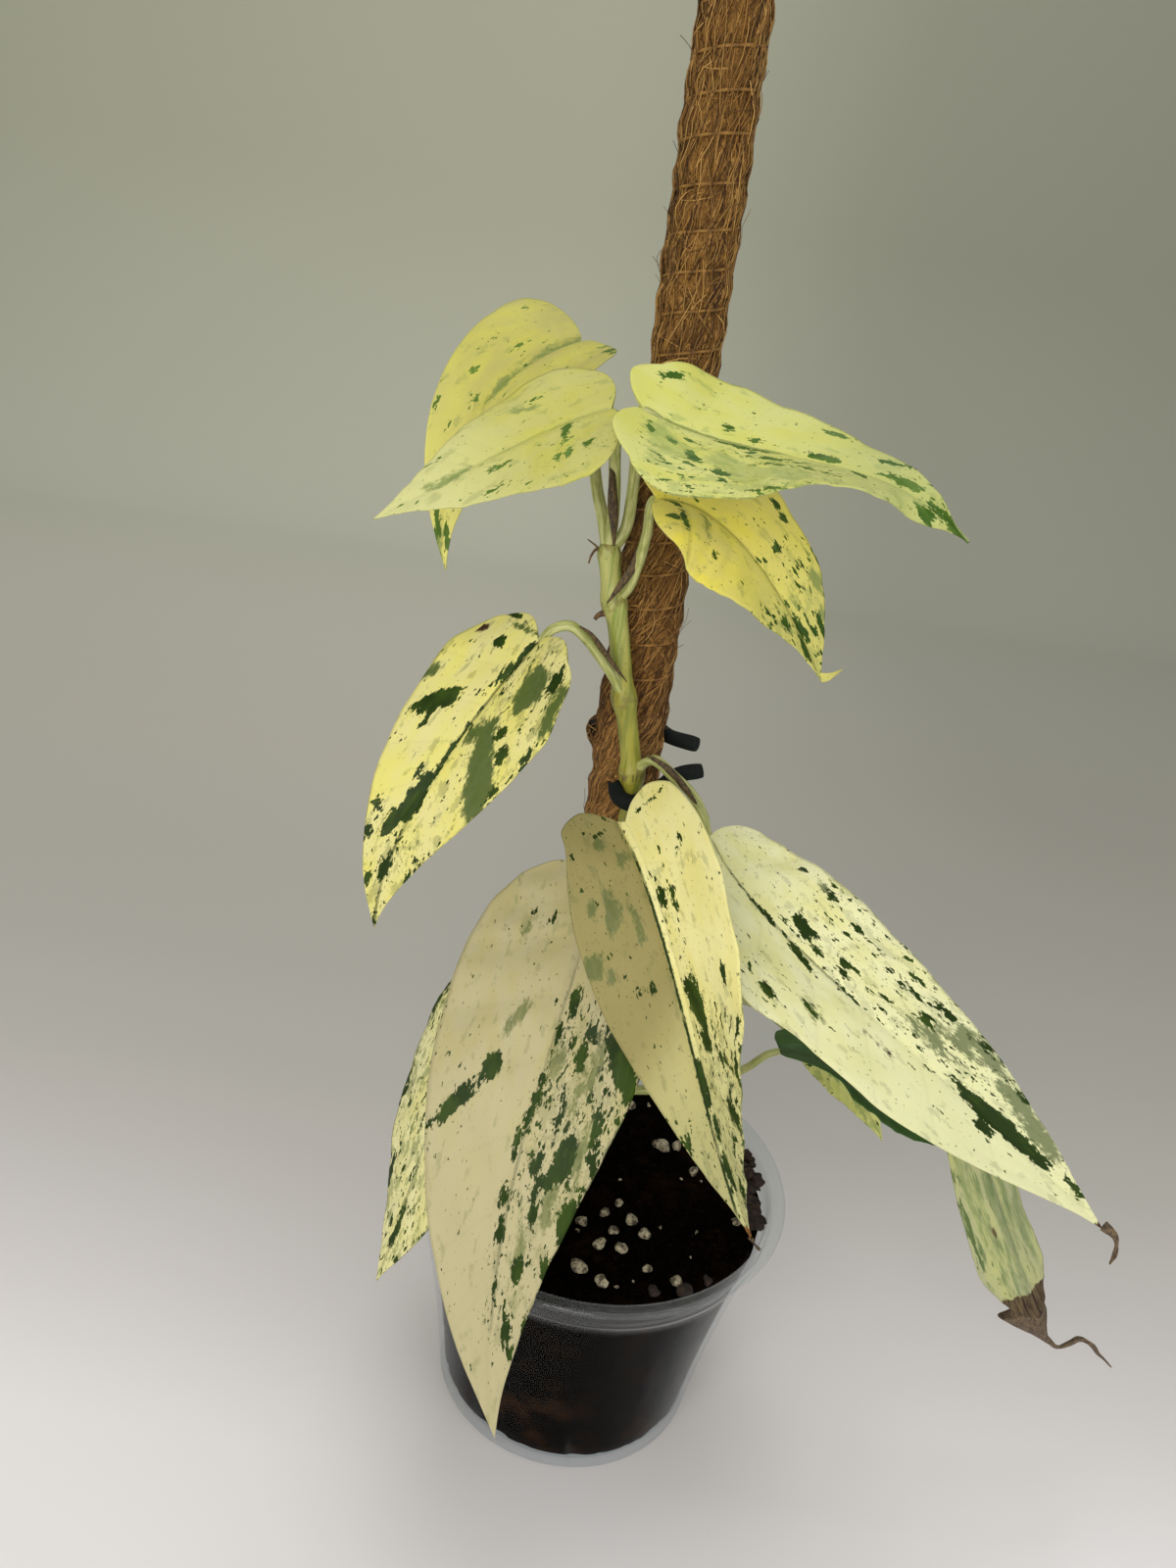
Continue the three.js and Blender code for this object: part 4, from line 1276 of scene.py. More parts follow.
@dataclass
class Tie:
    """The soft tie from its lower cut end, round the stem's front and the pole's back, to its upper cut end."""

    route: Sequence[Point] = (
        (7.5, 3.4, 162.8), (2.5, 2, 161.5), (-1.6, -0.4, 158.2), (-6, -0.9, 155.1), (-8.7, 0.2, 155.5),
        (-9.8, 3.2, 157.2), (-9.8, 6.4, 159.2), (-11.2, 9.4, 160.8), (-13.8, 11.6, 162.4), (-15.6, 14.4, 164),
        (-14.6, 18.9, 164.8), (-8, 22.4, 165.2), (-2.4, 20, 165), (0.6, 15.8, 164.8), (6.4, 12.6, 165),
    )
    radius: float = 1.65
    steps: int = 120
    sides: int = 16

    def line(self, count: int) -> np.ndarray:
        """Gives points along the tie."""
        return smooth_route(self.route, count)

    def build(self) -> None:
        """Makes the tie with slightly crushed bends and plain cut ends."""
        line = self.line(self.steps)
        along = np.linspace(0, 1, self.steps)
        ends = 1 - 0.1 * np.exp(-((np.minimum(along, 1 - along) / 0.008) ** 2))
        radii = self.radius * ends * (1 + 0.04 * ripple(line, 9, 5))
        mesh = PieceMesh()
        points = swept(line, (0, 0, 1), circle(self.sides) * radii[:, None, None])
        mesh.add(points, ring_faces(self.steps, self.sides))
        place_piece(mesh.build("tie_loop", [TIE_FOAM.material()]), "tie", "soft_tie")


@dataclass
class CoirPole:
    """The coir sleeve with its loose strands, the twine that binds it and the rod inside."""

    bottom: float = 6
    top: float = 335
    bend: Sequence[tuple[float, float]] = ((-3, 13.5), (-9, 17), (-8, 13.5), (-11, 7))
    radius: float = 7.25
    bulge: float = 0.45
    pitch: float = 7
    core_radius: float = 2.5
    core_room: float = 0.3
    well_depth: float = 8.0
    twine_radius: float = 0.3
    twine_lift: float = 0.34
    twine_spin: float = 0.9
    twine_sides: int = 7
    twine_steps: int = 36
    twines: Sequence[tuple[str, float, float, str]] = (
        ("twine_below_tie", 61.5, 149.0, "pole_twine_lower"),
        ("twine_above_tie", 176.0, 332.0, "pole_twine_upper"),
    )
    soil: float = 56
    sides: int = 72
    rings_in_mix: int = 12
    rings_above: int = 420
    strands: int = 6600
    strand_lengths: tuple[float, float] = (4, 14)
    strand_widths: tuple[float, float] = (0.08, 0.15)
    hairs: int = 240
    hair_lengths: tuple[float, float] = (3, 12)
    hair_widths: tuple[float, float] = (0.045, 0.075)
    wrapped: int = 1100
    wrapped_widths: tuple[float, float] = (0.1, 0.19)
    wrapped_heights: tuple[float, float] = (149, 169)
    wrapped_angles: tuple[float, float] = (3.5, 4.62)
    slant_heights: tuple[float, float] = (225, 260)
    tie_height: float = 161
    tie_reach: float = 9
    tie: Tie = field(default_factory=Tie)
    tie_line: np.ndarray = field(init=False)

    def __post_init__(self) -> None:
        """Keeps the tie's line, which presses into the sleeve."""
        self.tie_line = self.tie.line(90)

    def middle(self, height: np.ndarray) -> np.ndarray:
        """Gives the pole's middle at heights, as x and y.

        Args:
            height: heights in millimetres.

        Returns:
            One x and y for each height.
        """
        t = ((np.asarray(height, float) - self.bottom) / (self.top - self.bottom))[..., None]
        p0, p1, p2, p3 = np.array(self.bend, float)
        return (1 - t) ** 3 * p0 + 3 * (1 - t) ** 2 * t * p1 + 3 * (1 - t) * t ** 2 * p2 + t ** 3 * p3

    def phase(self, height: np.ndarray, angle: np.ndarray) -> np.ndarray:
        """Gives how far round the winding is, 0 where the twine lies."""
        return 2 * math.pi * (height - self.bottom) / self.pitch - angle

    def skin_radius(self, height: np.ndarray, angle: np.ndarray) -> np.ndarray:
        """Gives the sleeve's half width, drawn in under the twine and lumpy between its turns.

        Args:
            height: heights in millimetres.
            angle: angles round the pole.

        Returns:
            One half width for each pair.
        """
        wave = np.cos(self.phase(height, angle))
        turn = np.column_stack([height * 0.35, np.cos(angle) * 3, np.sin(angle) * 3])
        lumps = 0.24 * ripple(turn, 5, 3) + 0.12 * ripple(turn, 1.9, 4)
        pull = np.where(wave > 0, wave ** 3, wave * 0.6)
        narrower = 0.3 + 0.65 * smoothstep(height, 165, 235)
        return self.radius - narrower - self.bulge * pull + lumps

    def tie_gaps(self, points: np.ndarray) -> np.ndarray:
        """Gives each point's distance from the tie's line."""
        return np.linalg.norm(points[:, None, :] - self.tie_line[None], axis=2).min(axis=1)

    def on_skin(self, height: np.ndarray, angle: np.ndarray, lift: np.ndarray) -> np.ndarray:
        """Gives points on the sleeve, lifted off it, and kept out of the tie.

        Args:
            height: heights in millimetres.
            angle: angles round the pole.
            lift: how far off the sleeve.

        Returns:
            One point for each.
        """
        outward = level(angle)
        radius = self.skin_radius(height, angle) + lift
        points = np.column_stack([self.middle(height), height]) + outward * radius[:, None]
        near = np.abs(height - self.tie_height) < self.tie_reach
        if near.any():
            push = np.clip(self.tie.radius + 0.1 - self.tie_gaps(points[near]), 0, 2.4)
            points[near] -= outward[near] * (push * 1.1)[:, None]
        return points

    def build_sleeve(self) -> None:
        """Makes the felted sleeve, with a well at its top where the rod goes in."""
        sides = self.sides
        heights = np.concatenate([np.linspace(self.bottom, self.soil, self.rings_in_mix, endpoint=False),
                                  np.linspace(self.soil, self.top, self.rings_above)])
        rings = len(heights)
        height = np.repeat(heights, sides)
        skin = self.on_skin(height, np.tile(turns(sides), rings), np.full(len(height), -0.15))
        bore = level_ring(self.core_radius + self.core_room, self.top, sides, self.middle(heights[-1:])[0])
        well = bore - np.array([0, 0, self.well_depth])
        faces = ring_faces(rings, sides, False)
        faces += [[f + (rings - 1) * sides for f in face] for face in ring_faces(3, sides, False)]
        faces.append(list(range(sides))[::-1])
        mesh = PieceMesh()
        mesh.add(np.vstack([skin, bore, well]), faces)
        place_piece(mesh.build("coir_sleeve", [MattingFinish().material()]), "coir", "pole_coir")

    def strand_points(self, source: np.random.Generator, height: float, angle: float, steps: int,
                      loose: bool) -> np.ndarray:
        """Runs one strand over the sleeve.

        Args:
            source: where its random values come from.
            height: where it starts.
            angle: where it starts, round the pole.
            steps: how many points.
            loose: whether its end stands off the sleeve.

        Returns:
            Its points.
        """
        length = source.uniform(*(self.hair_lengths if loose else self.strand_lengths))
        slant = 0.1 + 0.36 * (1 - smoothstep(height, *self.slant_heights))
        lean = source.normal(slant, 0.2) if source.random() < 0.88 else source.normal(0, 0.9)
        bend = source.normal(0, 0.35)
        t = np.linspace(0, 1, steps)
        heading = lean + bend * (t - 0.5) * 2
        step = length / (steps - 1)
        rise = np.cumsum(np.cos(heading)) * step
        turn = np.cumsum(np.sin(heading)) * step / self.radius
        lift = 0.02 + 0.3 * source.random() ** 2 + 0.2 * np.sin(t * math.pi) * source.random()
        if loose:
            lift = lift + source.uniform(0.4, 3.4) * source.random() * t ** 2
        heights = np.clip(height + rise - rise[steps // 2], self.soil - 3, self.top)
        return self.on_skin(heights, angle + turn, lift)

    def add_strand(self, mesh: PieceMesh, source: np.random.Generator, points: np.ndarray, width: float) -> None:
        """Adds one strand as a thin three-sided tube with a tone of its own.

        Args:
            mesh: where it goes.
            source: where its random values come from.
            points: its line.
            width: its half width.
        """
        steps = len(points)
        forward = unit(np.gradient(points, axis=0) + 1e-9)
        across = unit(np.cross(forward, [0.31, 0.52, 0.2]))
        # Each strand's tone, a depth value from 0.4 to 1 that the finish turns into painted shade, and its run.
        values = np.column_stack([np.full(3 * steps, source.random() ** 1.2),
                                  np.full(3 * steps, source.uniform(0.4, 1)),
                                  np.repeat(np.linspace(0, 1, steps), 3)])
        strand = tube(points, across, np.cross(forward, across), circle(3) * width)
        mesh.add(strand, ring_faces(steps, 3), 0, {"strand": values})

    def over_tie(self, points: np.ndarray) -> np.ndarray:
        """Lifts a strand's points out over the tie.

        Args:
            points: the strand's line.

        Returns:
            The lifted line.
        """
        centre = np.column_stack([self.middle(points[:, 2]), points[:, 2]])
        outward = unit(points - centre)
        lifted = points.copy()
        for _ in range(30):
            push = np.clip(self.tie.radius + 0.25 - self.tie_gaps(lifted), 0, 0.35)
            lifted = lifted + outward * push[:, None]
        return lifted

    def build_strands(self) -> None:
        """Makes the strands that cover the sleeve and the hairs that stand off it, in two stretches."""
        finish = FibreFinish("coir_strands", "cda25a", "a67a3a", "462d12").material()
        split = (self.soil + self.top) / 2
        source = np.random.default_rng(21)
        for name, low, high in (("coir_strands_lower", self.soil, split), ("coir_strands_upper", split, self.top)):
            mesh = PieceMesh()
            for i in range((self.strands + self.hairs) // 2):
                loose = i < self.hairs // 2
                points = self.strand_points(source, source.uniform(low, high), source.uniform(0, 2 * math.pi),
                                            6 if loose else 5, loose)
                width = source.uniform(*(self.hair_widths if loose else self.strand_widths))
                self.add_strand(mesh, source, points, width)
            place_piece(mesh.build(name, [finish]), "coir")
        mesh = PieceMesh()
        for _ in range(self.wrapped):
            points = self.strand_points(source, source.uniform(*self.wrapped_heights),
                                        source.uniform(*self.wrapped_angles), 9, False)
            self.add_strand(mesh, source, self.over_tie(points), source.uniform(*self.wrapped_widths))
        place_piece(mesh.build("coir_strands_on_tie", [finish]), "coir")

    def build_twine(self) -> None:
        """Makes the two stretches of twine in the sleeve's grooves."""
        finish = FibreFinish("twine_fibre", "a07a3c", "7f5c28", "3e2810").material()
        sides = self.twine_sides
        for name, low, high, node in self.twines:
            count = int((high - low) / self.pitch * self.twine_steps)
            heights = np.linspace(low, high, count)
            angles = 2 * math.pi * (heights - self.bottom) / self.pitch
            wander = 0.5 * ripple(np.column_stack([heights, heights * 0]), 11, 9)
            line = self.on_skin(heights + wander, angles, np.full(count, self.twine_lift))
            spin = np.arange(count) * self.twine_spin
            outward = level(angles)
            upward = np.cross(unit(np.gradient(line, axis=0)), outward)
            radii = self.twine_radius * (1 + 0.16 * np.cos(2 * (turns(sides) + spin[:, None])))
            twist = tube(line, outward, upward, circle(sides) * radii[..., None])
            tone = np.repeat(0.5 + 0.3 * np.sin(spin * 2), sides)
            values = np.column_stack([tone, np.ones(len(tone)), np.zeros(len(tone))])
            mesh = PieceMesh()
            mesh.add(twist, ring_faces(count, sides), 0, {"strand": values})
            place_piece(mesh.build(name, [finish]), "twine", node)

    def build(self) -> None:
        """Makes the whole pole, with room for the tie."""
        self.build_sleeve()
        self.build_strands()
        self.build_twine()
        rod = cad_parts["pole_core"]
        rod.data.materials.clear()
        rod.data.materials.append(ROD.material())


# Stem and sheaths


@dataclass
class Stem:
    """The climbing stem with its swollen joints and dry root nubs."""

    route: Sequence[Point] = (
        (-3.5, 3.6, 34), (-3.8, 3.6, 70), (-4.6, 3.7, 95), (-5, 3.7, 120), (-5.2, 3.4, 143), (-6.2, 3.2, 157),
        (-9, 2.8, 170), (-11.2, 2.8, 178), (-14, 3.8, 190), (-16.5, 4, 198), (-18.5, 4, 207),
    )
    joints: Sequence[tuple[float, float]] = (
        (84, 0.5), (98, 0.5), (113, 0.6), (130, 0.6), (149, 0.5), (160, 0.9), (176, 0.7), (195, 0.7), (206, 0.8),
    )
    nubs: Sequence[tuple[float, Sequence[Point]]] = (
        (0.95, ((-15.4, 4, 192.4), (-17.2, 3.6, 192.6), (-18.4, 3.2, 192), (-18.9, 3, 191.2))),
        (0.4, ((-18.6, 4, 204.6), (-20.4, 3.6, 204.9), (-21.3, 3.2, 203.6), (-21.6, 3, 202))),
        (0.3, ((-18.6, 4, 203.8), (-20.8, 3.4, 205.6), (-22.4, 3, 206.6))),
        (0.7, ((-10.2, 3.6, 174.2), (-12.2, 3.2, 174.8), (-13, 3, 174))),
    )
    radius: float = 2.1
    swelling: float = 0.9
    swelling_reach: float = 2.2
    ring_depth: float = 0.14
    ring_reach: float = 0.45
    steps: int = 260
    sides: int = 22
    nub_steps: int = 14
    nub_sides: int = 9

    def build(self) -> None:
        """Makes the stem and its nubs as one piece."""
        steps, sides = self.steps, self.sides
        line = smooth_route(self.route, steps)
        swelling, rings = np.zeros(steps), np.zeros(steps)
        for joint, extra in self.joints:
            off = line[:, 2] - joint
            swelling = np.maximum(swelling, extra / self.swelling * np.exp(-((off / self.swelling_reach) ** 2)))
            rings += self.ring_depth * np.exp(-((off / self.ring_reach) ** 2))
        along = np.linspace(0, 1, steps)
        end = np.minimum(1, np.sqrt((1 - along) / 0.03) + 0.2)
        radii = (self.radius + self.swelling * swelling - rings) * end
        ridges = 1 + 0.025 * np.cos(5 * turns(sides) + along[:, None] * 4)
        sections = circle(sides) * (ridges * radii[:, None])[..., None]
        mesh = PieceMesh()
        marks = np.repeat(swelling, sides)[:, None] * np.array([1.0, 0.0, 0.0])
        mesh.add(swept(line, (0, 1, 0), sections), ring_faces(steps, sides), 0, {"stem_place": marks})
        for thickness, points in self.nubs:
            taper = thickness * (1 - 0.6 * np.linspace(0, 1, self.nub_steps))
            nub = smooth_route(points, self.nub_steps)
            shape = circle(self.nub_sides) * taper[:, None, None]
            mesh.add(swept(nub, (0, 1, 0), shape), ring_faces(self.nub_steps, self.nub_sides), 1)
        nub_finish = dried("root_nub", "7a5c34", "2c1c0e").material()
        place_piece(mesh.build("stem_vine", [StemFinish().material(), nub_finish]), "stem", "stem")


@dataclass
class Sheath:
    """One dried strip beside the stalk that it once wrapped."""

    node: str
    points: Sequence[Point]
    width: float = 0.5
    half_thickness: float = 0.12
    steps: int = 36
    columns: int = 8

    def build(self, finish: bpy.types.Material) -> None:
        """Makes the strip, curled into a shallow gutter and torn to a point.

        Args:
            finish: its dried skin.
        """
        line = smooth_route(self.points, self.steps)
        along = np.linspace(0, 1, self.steps)
        widths = self.width * np.maximum(0.16, np.sin(math.pi * (0.1 + 0.84 * (1 - along))))
        widths = (widths * (1 + 0.15 * ripple(line, 6, len(self.node))))[:, None]
        across = np.linspace(-1, 1, self.columns)
        arch = np.tile(0.45 * (1 - across ** 2), 2) * widths
        skins = np.repeat([self.half_thickness, -self.half_thickness], self.columns)
        sections = np.stack([np.concatenate([across, -across * 0.97]) * widths, arch + skins], axis=-1)[:, ::-1]
        mesh = PieceMesh()
        mesh.add(swept(line, (0.2, -1, 0.2), sections), ring_faces(self.steps, 2 * self.columns))
        place_piece(mesh.build(self.node + "_strip", [finish]), "dry_sheath", self.node)


# Pot and potting mix


@dataclass
class Pot:
    """The clear flared pot with its collar, its rolled lip and its drain holes."""

    height: float = 62
    base_radius: float = 31.5
    waist_radius: float = 34.5
    waist_height: float = 28
    collar_radius: float = 41
    collar_depth: float = 8
    rim_radius: float = 45
    rim_depth: float = 1.8
    wall: float = 1
    floor: float = 1.6
    drain_holes: int = 5
    drain_radius: float = 2.5
    drain_circle: float = 19
    sides: int = 144
    drain_sides: int = 24
    drain_cut: tuple[float, float] = (-3.0, 5.0)

    def outer_radius(self, height: float) -> float:
        """Gives the wall's outer half width at a height, as the solid's wall has it."""
        t = min(max(height / (self.height - self.collar_depth), 0), 1)
        return (1 - t) ** 2 * self.base_radius + 2 * (1 - t) * t * self.waist_radius + t * t * self.collar_radius

    def profile(self) -> list[tuple[float, float]]:
        """Gives the pot's section as half widths and heights, from under its base out and back in to its floor.

        Returns:
            Pairs of half width and height.
        """
        top = self.height
        start = top - self.collar_depth
        levels = np.linspace(0, start, 18)
        base = [(self.base_radius - 5.5, 0.9), (self.base_radius - 4.6, 0.2), (self.base_radius - 3.9, 0.0)]
        outer = [(self.outer_radius(z) - (0.5 if z == 0 else 0), z) for z in levels]
        outer.insert(1, (self.outer_radius(0.45), 0.45))
        collar, rim = self.collar_radius, self.rim_radius
        lip = [
            (collar + 0.25, start + 0.15), (collar + 0.75, start + 0.6), (collar + 0.9, start + 1.5),
            (collar + 1.05, top - 3.2), (collar + 1.4, top - 2.2), (rim - 1.2, top - 1.75),
            (rim - 0.35, top - 1.55), (rim, top - 0.95), (rim - 0.3, top - 0.3), (rim - 1.0, top),
            (rim - 1.4, top - 0.45), (rim - 2.0, top - 0.5), (collar + 1.7, top - 0.05),
            (collar + 1.3, top - 0.1), (collar + 0.5, top - 0.7), (collar + 0.15, top - 2.0),
            (collar - 0.1, start + 1.4), (collar - 0.45, start + 0.6),
        ]
        inner = [(self.outer_radius(z) - self.wall, z) for z in levels[::-1] if z > self.floor]
        foot = self.outer_radius(self.floor) - self.wall
        well = [(foot - 0.5, self.floor + 0.15), (foot - 1.2, self.floor)]
        return base + outer + lip + inner + well

    def build(self) -> None:
        """Makes the pot and cuts its drain holes."""
        outline = self.profile()
        mesh = PieceMesh()
        points = np.vstack([level_ring(r, z, self.sides) for r, z in outline])
        mesh.add(points, ring_faces(len(outline), self.sides))
        pot = mesh.build("pot_clear", [ClearPlasticFinish().material()])
        cutter_mesh = PieceMesh()
        for x, y in circle(self.drain_holes) * self.drain_circle:
            ends = [level_ring(self.drain_radius, z, self.drain_sides, (x, y)) for z in self.drain_cut]
            cutter_mesh.add(np.vstack(ends), ring_faces(2, self.drain_sides))
        cutter = cutter_mesh.build("pot_drain_cutter", [])
        cut = pot.modifiers.new("drains", "BOOLEAN")
        cut.operation = "DIFFERENCE"
        cut.solver = "EXACT"
        cut.object = cutter
        shaped = bpy.data.meshes.new_from_object(pot.evaluated_get(bpy.context.evaluated_depsgraph_get()))
        pot.modifiers.clear()
        pot.data = shaped
        bpy.data.objects.remove(cutter)
        place_piece(pot, "clear_pot", "pot")


@dataclass
class PottingMix:
    """The damp mix in the pot, with its granules, perlite and bark."""

    pot: Pot
    top: float = 58
    top_radius: float = 39.4
    bump: float = 0.66
    perlite: Sequence[Point] = (
        (16, 14, 2.4), (20, 16, 1.7), (24, 7, 1.6), (-2, -15, 1.5), (3, -11, 1.5), (6, -8, 1.3), (9, -13, 1.5),
        (5, -17, 1.3), (12, -17, 1.4), (2, -22, 1.6), (7, -22, 1.5), (-2, -29, 1.9), (3, -32, 1.8), (13, -26, 1.2),
        (19, -29, 1.3), (33.5, -9, 1.3), (-18, 12, 1.5), (-12, 26, 1.8), (8, 29, 1.5), (-28, -2, 1.6),
    )
    crumbs: Sequence[tuple[float, float, float, float]] = (
        (37, 11, 2.2, 5.5), (36.5, -5, 1.5, 1.6), (21, -31, 1.6, 1.8), (26, -28, 1.4, 1.5), (14, -34, 1.5, 1.6),
        (-26, -26.5, 2, 2.2), (-30, -21, 1.7, 2), (-35, 6, 1.8, 2), (-20, 30, 1.6, 1.6), (4, 36, 1.6, 1.8),
        (28, 22, 1.7, 2),
    )
    granules: int = 700
    granule_spread: float = 0.985
    specks: int = 34
    speck_spread: float = 0.96
    banked: int = 90
    bank_angles: tuple[float, float] = (-0.28, 0.62)
    bank_reaches: tuple[float, float] = (36.2, 39.4)
    bank_height: float = 57.8
    bank_rise: float = 4.2
    side_heights: tuple[float, float] = (56.6, 3.2)
    foot_height: float = 2.0
    foot_step: float = 1.7
    wall_gap: float = 0.25
    sides: int = 168
    centre_radius: float = 0.6
    top_rings: int = 52
    side_rings: int = 48

    def height(self, x: np.ndarray, y: np.ndarray) -> np.ndarray:
        """Gives the surface's height, with its gentle bumps."""
        return self.top + self.bump * (np.sin(x * 0.31 + 1) * np.cos(y * 0.27) + 0.6 * np.sin(x * 0.53 - y * 0.41))

    def build_body(self) -> None:
        """Makes the mix itself: a crumbly top, and a side that fills the pot."""
        sides = self.sides
        rings = []
        for radius in np.linspace(self.top_radius, self.centre_radius, self.top_rings):
            place = circle(sides) * radius
            rough = 0.32 * ripple(place, 5, 2) + 0.3 * ripple(place, 2.2, 3) + 0.16 * ripple(place, 1.1, 4)
            rings.append(np.column_stack([place, self.height(place[:, 0], place[:, 1]) + rough - 0.5]))
        for z in np.linspace(*self.side_heights, self.side_rings):
            radius = self.pot.outer_radius(z) - self.pot.wall - self.wall_gap
            place = level_ring(radius, z, sides)
            hollow = np.clip(0.35 * ripple(place, 6, 5) + 0.25 * ripple(place, 2.4, 6), 0, 1)
            place[:, :2] *= (1 - hollow / radius)[:, None]
            rings.insert(0, place)
        foot = rings[0].copy()
        foot[:, :2] *= 1 - self.foot_step / self.pot.outer_radius(3)
        foot[:, 2] = self.foot_height
        rings.insert(0, foot)
        mesh = PieceMesh()
        mesh.add(np.vstack(rings), ring_faces(len(rings), sides))
        place_piece(mesh.build("mix_body", [MixFinish().material()]), "mix", "potting_mix")

    def lump(self, source: np.random.Generator, centre: Point, size: float, flat: float,
             sharp: float) -> np.ndarray:
        """Shapes one irregular lump.

        Args:
            source: where its random values come from.
            centre: its middle.
            size: its half width.
            flat: its height as a share of its width.
            sharp: how uneven it is.

        Returns:
            The points of a lump of unit_lump's layout.
        """
        ball = UNIT_LUMP_POINTS
        flats = unit(source.normal(size=(9, 3)))
        depth = source.uniform(1 - sharp, 1, 9)
        bulge = np.minimum(1, (depth / np.maximum(ball @ flats.T, 0.05)).min(axis=1))
        bulge = bulge * (1 + 0.06 * np.sin(ball @ flats[:3].T * 5).sum(axis=1))
        stretch = np.array([source.uniform(0.75, 1.3), source.uniform(0.75, 1.3), flat])
        spin = Matrix.Rotation(source.uniform(0, 6.3), 3, "Z")
        tilt = Matrix.Rotation(source.normal(0, 0.3), 3, "X")
        return (ball * bulge[:, None] * stretch * size) @ np.array(spin @ tilt).T + np.array(centre)

    def seat(self, x: float, y: float, lift: float) -> Point:
        """Gives the place at x and y that lies lift above the surface."""
        return (x, y, float(self.height(np.array(x), np.array(y))) + lift)

    def scattered(self, source: np.random.Generator, spread: float) -> tuple[float, float]:
        """Draws a place on the surface within a share of its radius.

        Args:
            source: where its random values come from.
            spread: the share.

        Returns:
            Its x and y.
        """
        reach = self.top_radius * math.sqrt(source.random()) * spread
        angle = source.uniform(0, 2 * math.pi)
        return reach * math.cos(angle), reach * math.sin(angle)

    def build_loose(self) -> None:
        """Scatters crumbs of mix, perlite and bark over the surface."""
        source = np.random.default_rng(12)
        crumbs, white, bark = PieceMesh(), PieceMesh(), PieceMesh()
        for _ in range(self.granules):
            place = self.scattered(source, self.granule_spread)
            size = 0.35 + 0.9 * source.random() ** 2.2
            centre = self.seat(*place, size * 0.1 - 0.35)
            crumbs.add(self.lump(source, centre, size, source.uniform(0.5, 0.9), 0.5), UNIT_LUMP_FACES)
        for x, y, size in self.perlite:
            white.add(self.lump(source, self.seat(x, y, size * 0.15), size * 0.95, 0.75, 0.3), UNIT_LUMP_FACES)
        for _ in range(self.specks):
            place = self.scattered(source, self.speck_spread)
            size = source.uniform(0.25, 0.6)
            white.add(self.lump(source, self.seat(*place, size * 0.3 - 0.3), size, 0.8, 0.35), UNIT_LUMP_FACES)
        for x, y, size, tall in self.crumbs:
            bark.add(self.lump(source, self.seat(x, y, tall * 0.25), size, tall / size * 0.8, 0.4), UNIT_LUMP_FACES)
        for _ in range(self.banked):
            angle = source.uniform(*self.bank_angles)
            reach = source.uniform(*self.bank_reaches)
            size = source.uniform(0.7, 1.7)
            lift = self.bank_rise * math.cos((angle - 0.17) * 3.2) ** 2 * source.random()
            centre = (reach * math.cos(angle), reach * math.sin(angle), self.bank_height + lift)
            bark.add(self.lump(source, centre, size, source.uniform(0.7, 1.1), 0.5), UNIT_LUMP_FACES)
        for mesh, name, finish in ((crumbs, "mix_crumbs", MixFinish()), (white, "mix_perlite", PERLITE),
                                   (bark, "mix_bark", BARK)):
            place_piece(mesh.build(name, [finish.material()]), "mix")

    def build(self) -> None:
        """Makes the mix and all that lies on it."""
        self.build_body()
        self.build_loose()


def unit_lump() -> tuple[np.ndarray, list[list[int]]]:
    """Gives a ball of 162 points with its faces, which lumps are shaped from.

    Returns:
        Its points and its faces.
    """
    ball = bmesh.new()
    bmesh.ops.create_icosphere(ball, subdivisions=2, radius=1)
    points = np.array([point.co[:] for point in ball.verts])
    faces = [[point.index for point in face.verts] for face in ball.faces]
    ball.free()
    return points, faces


UNIT_LUMP_POINTS, UNIT_LUMP_FACES = unit_lump()


# The leaves' shapes, marks and colours

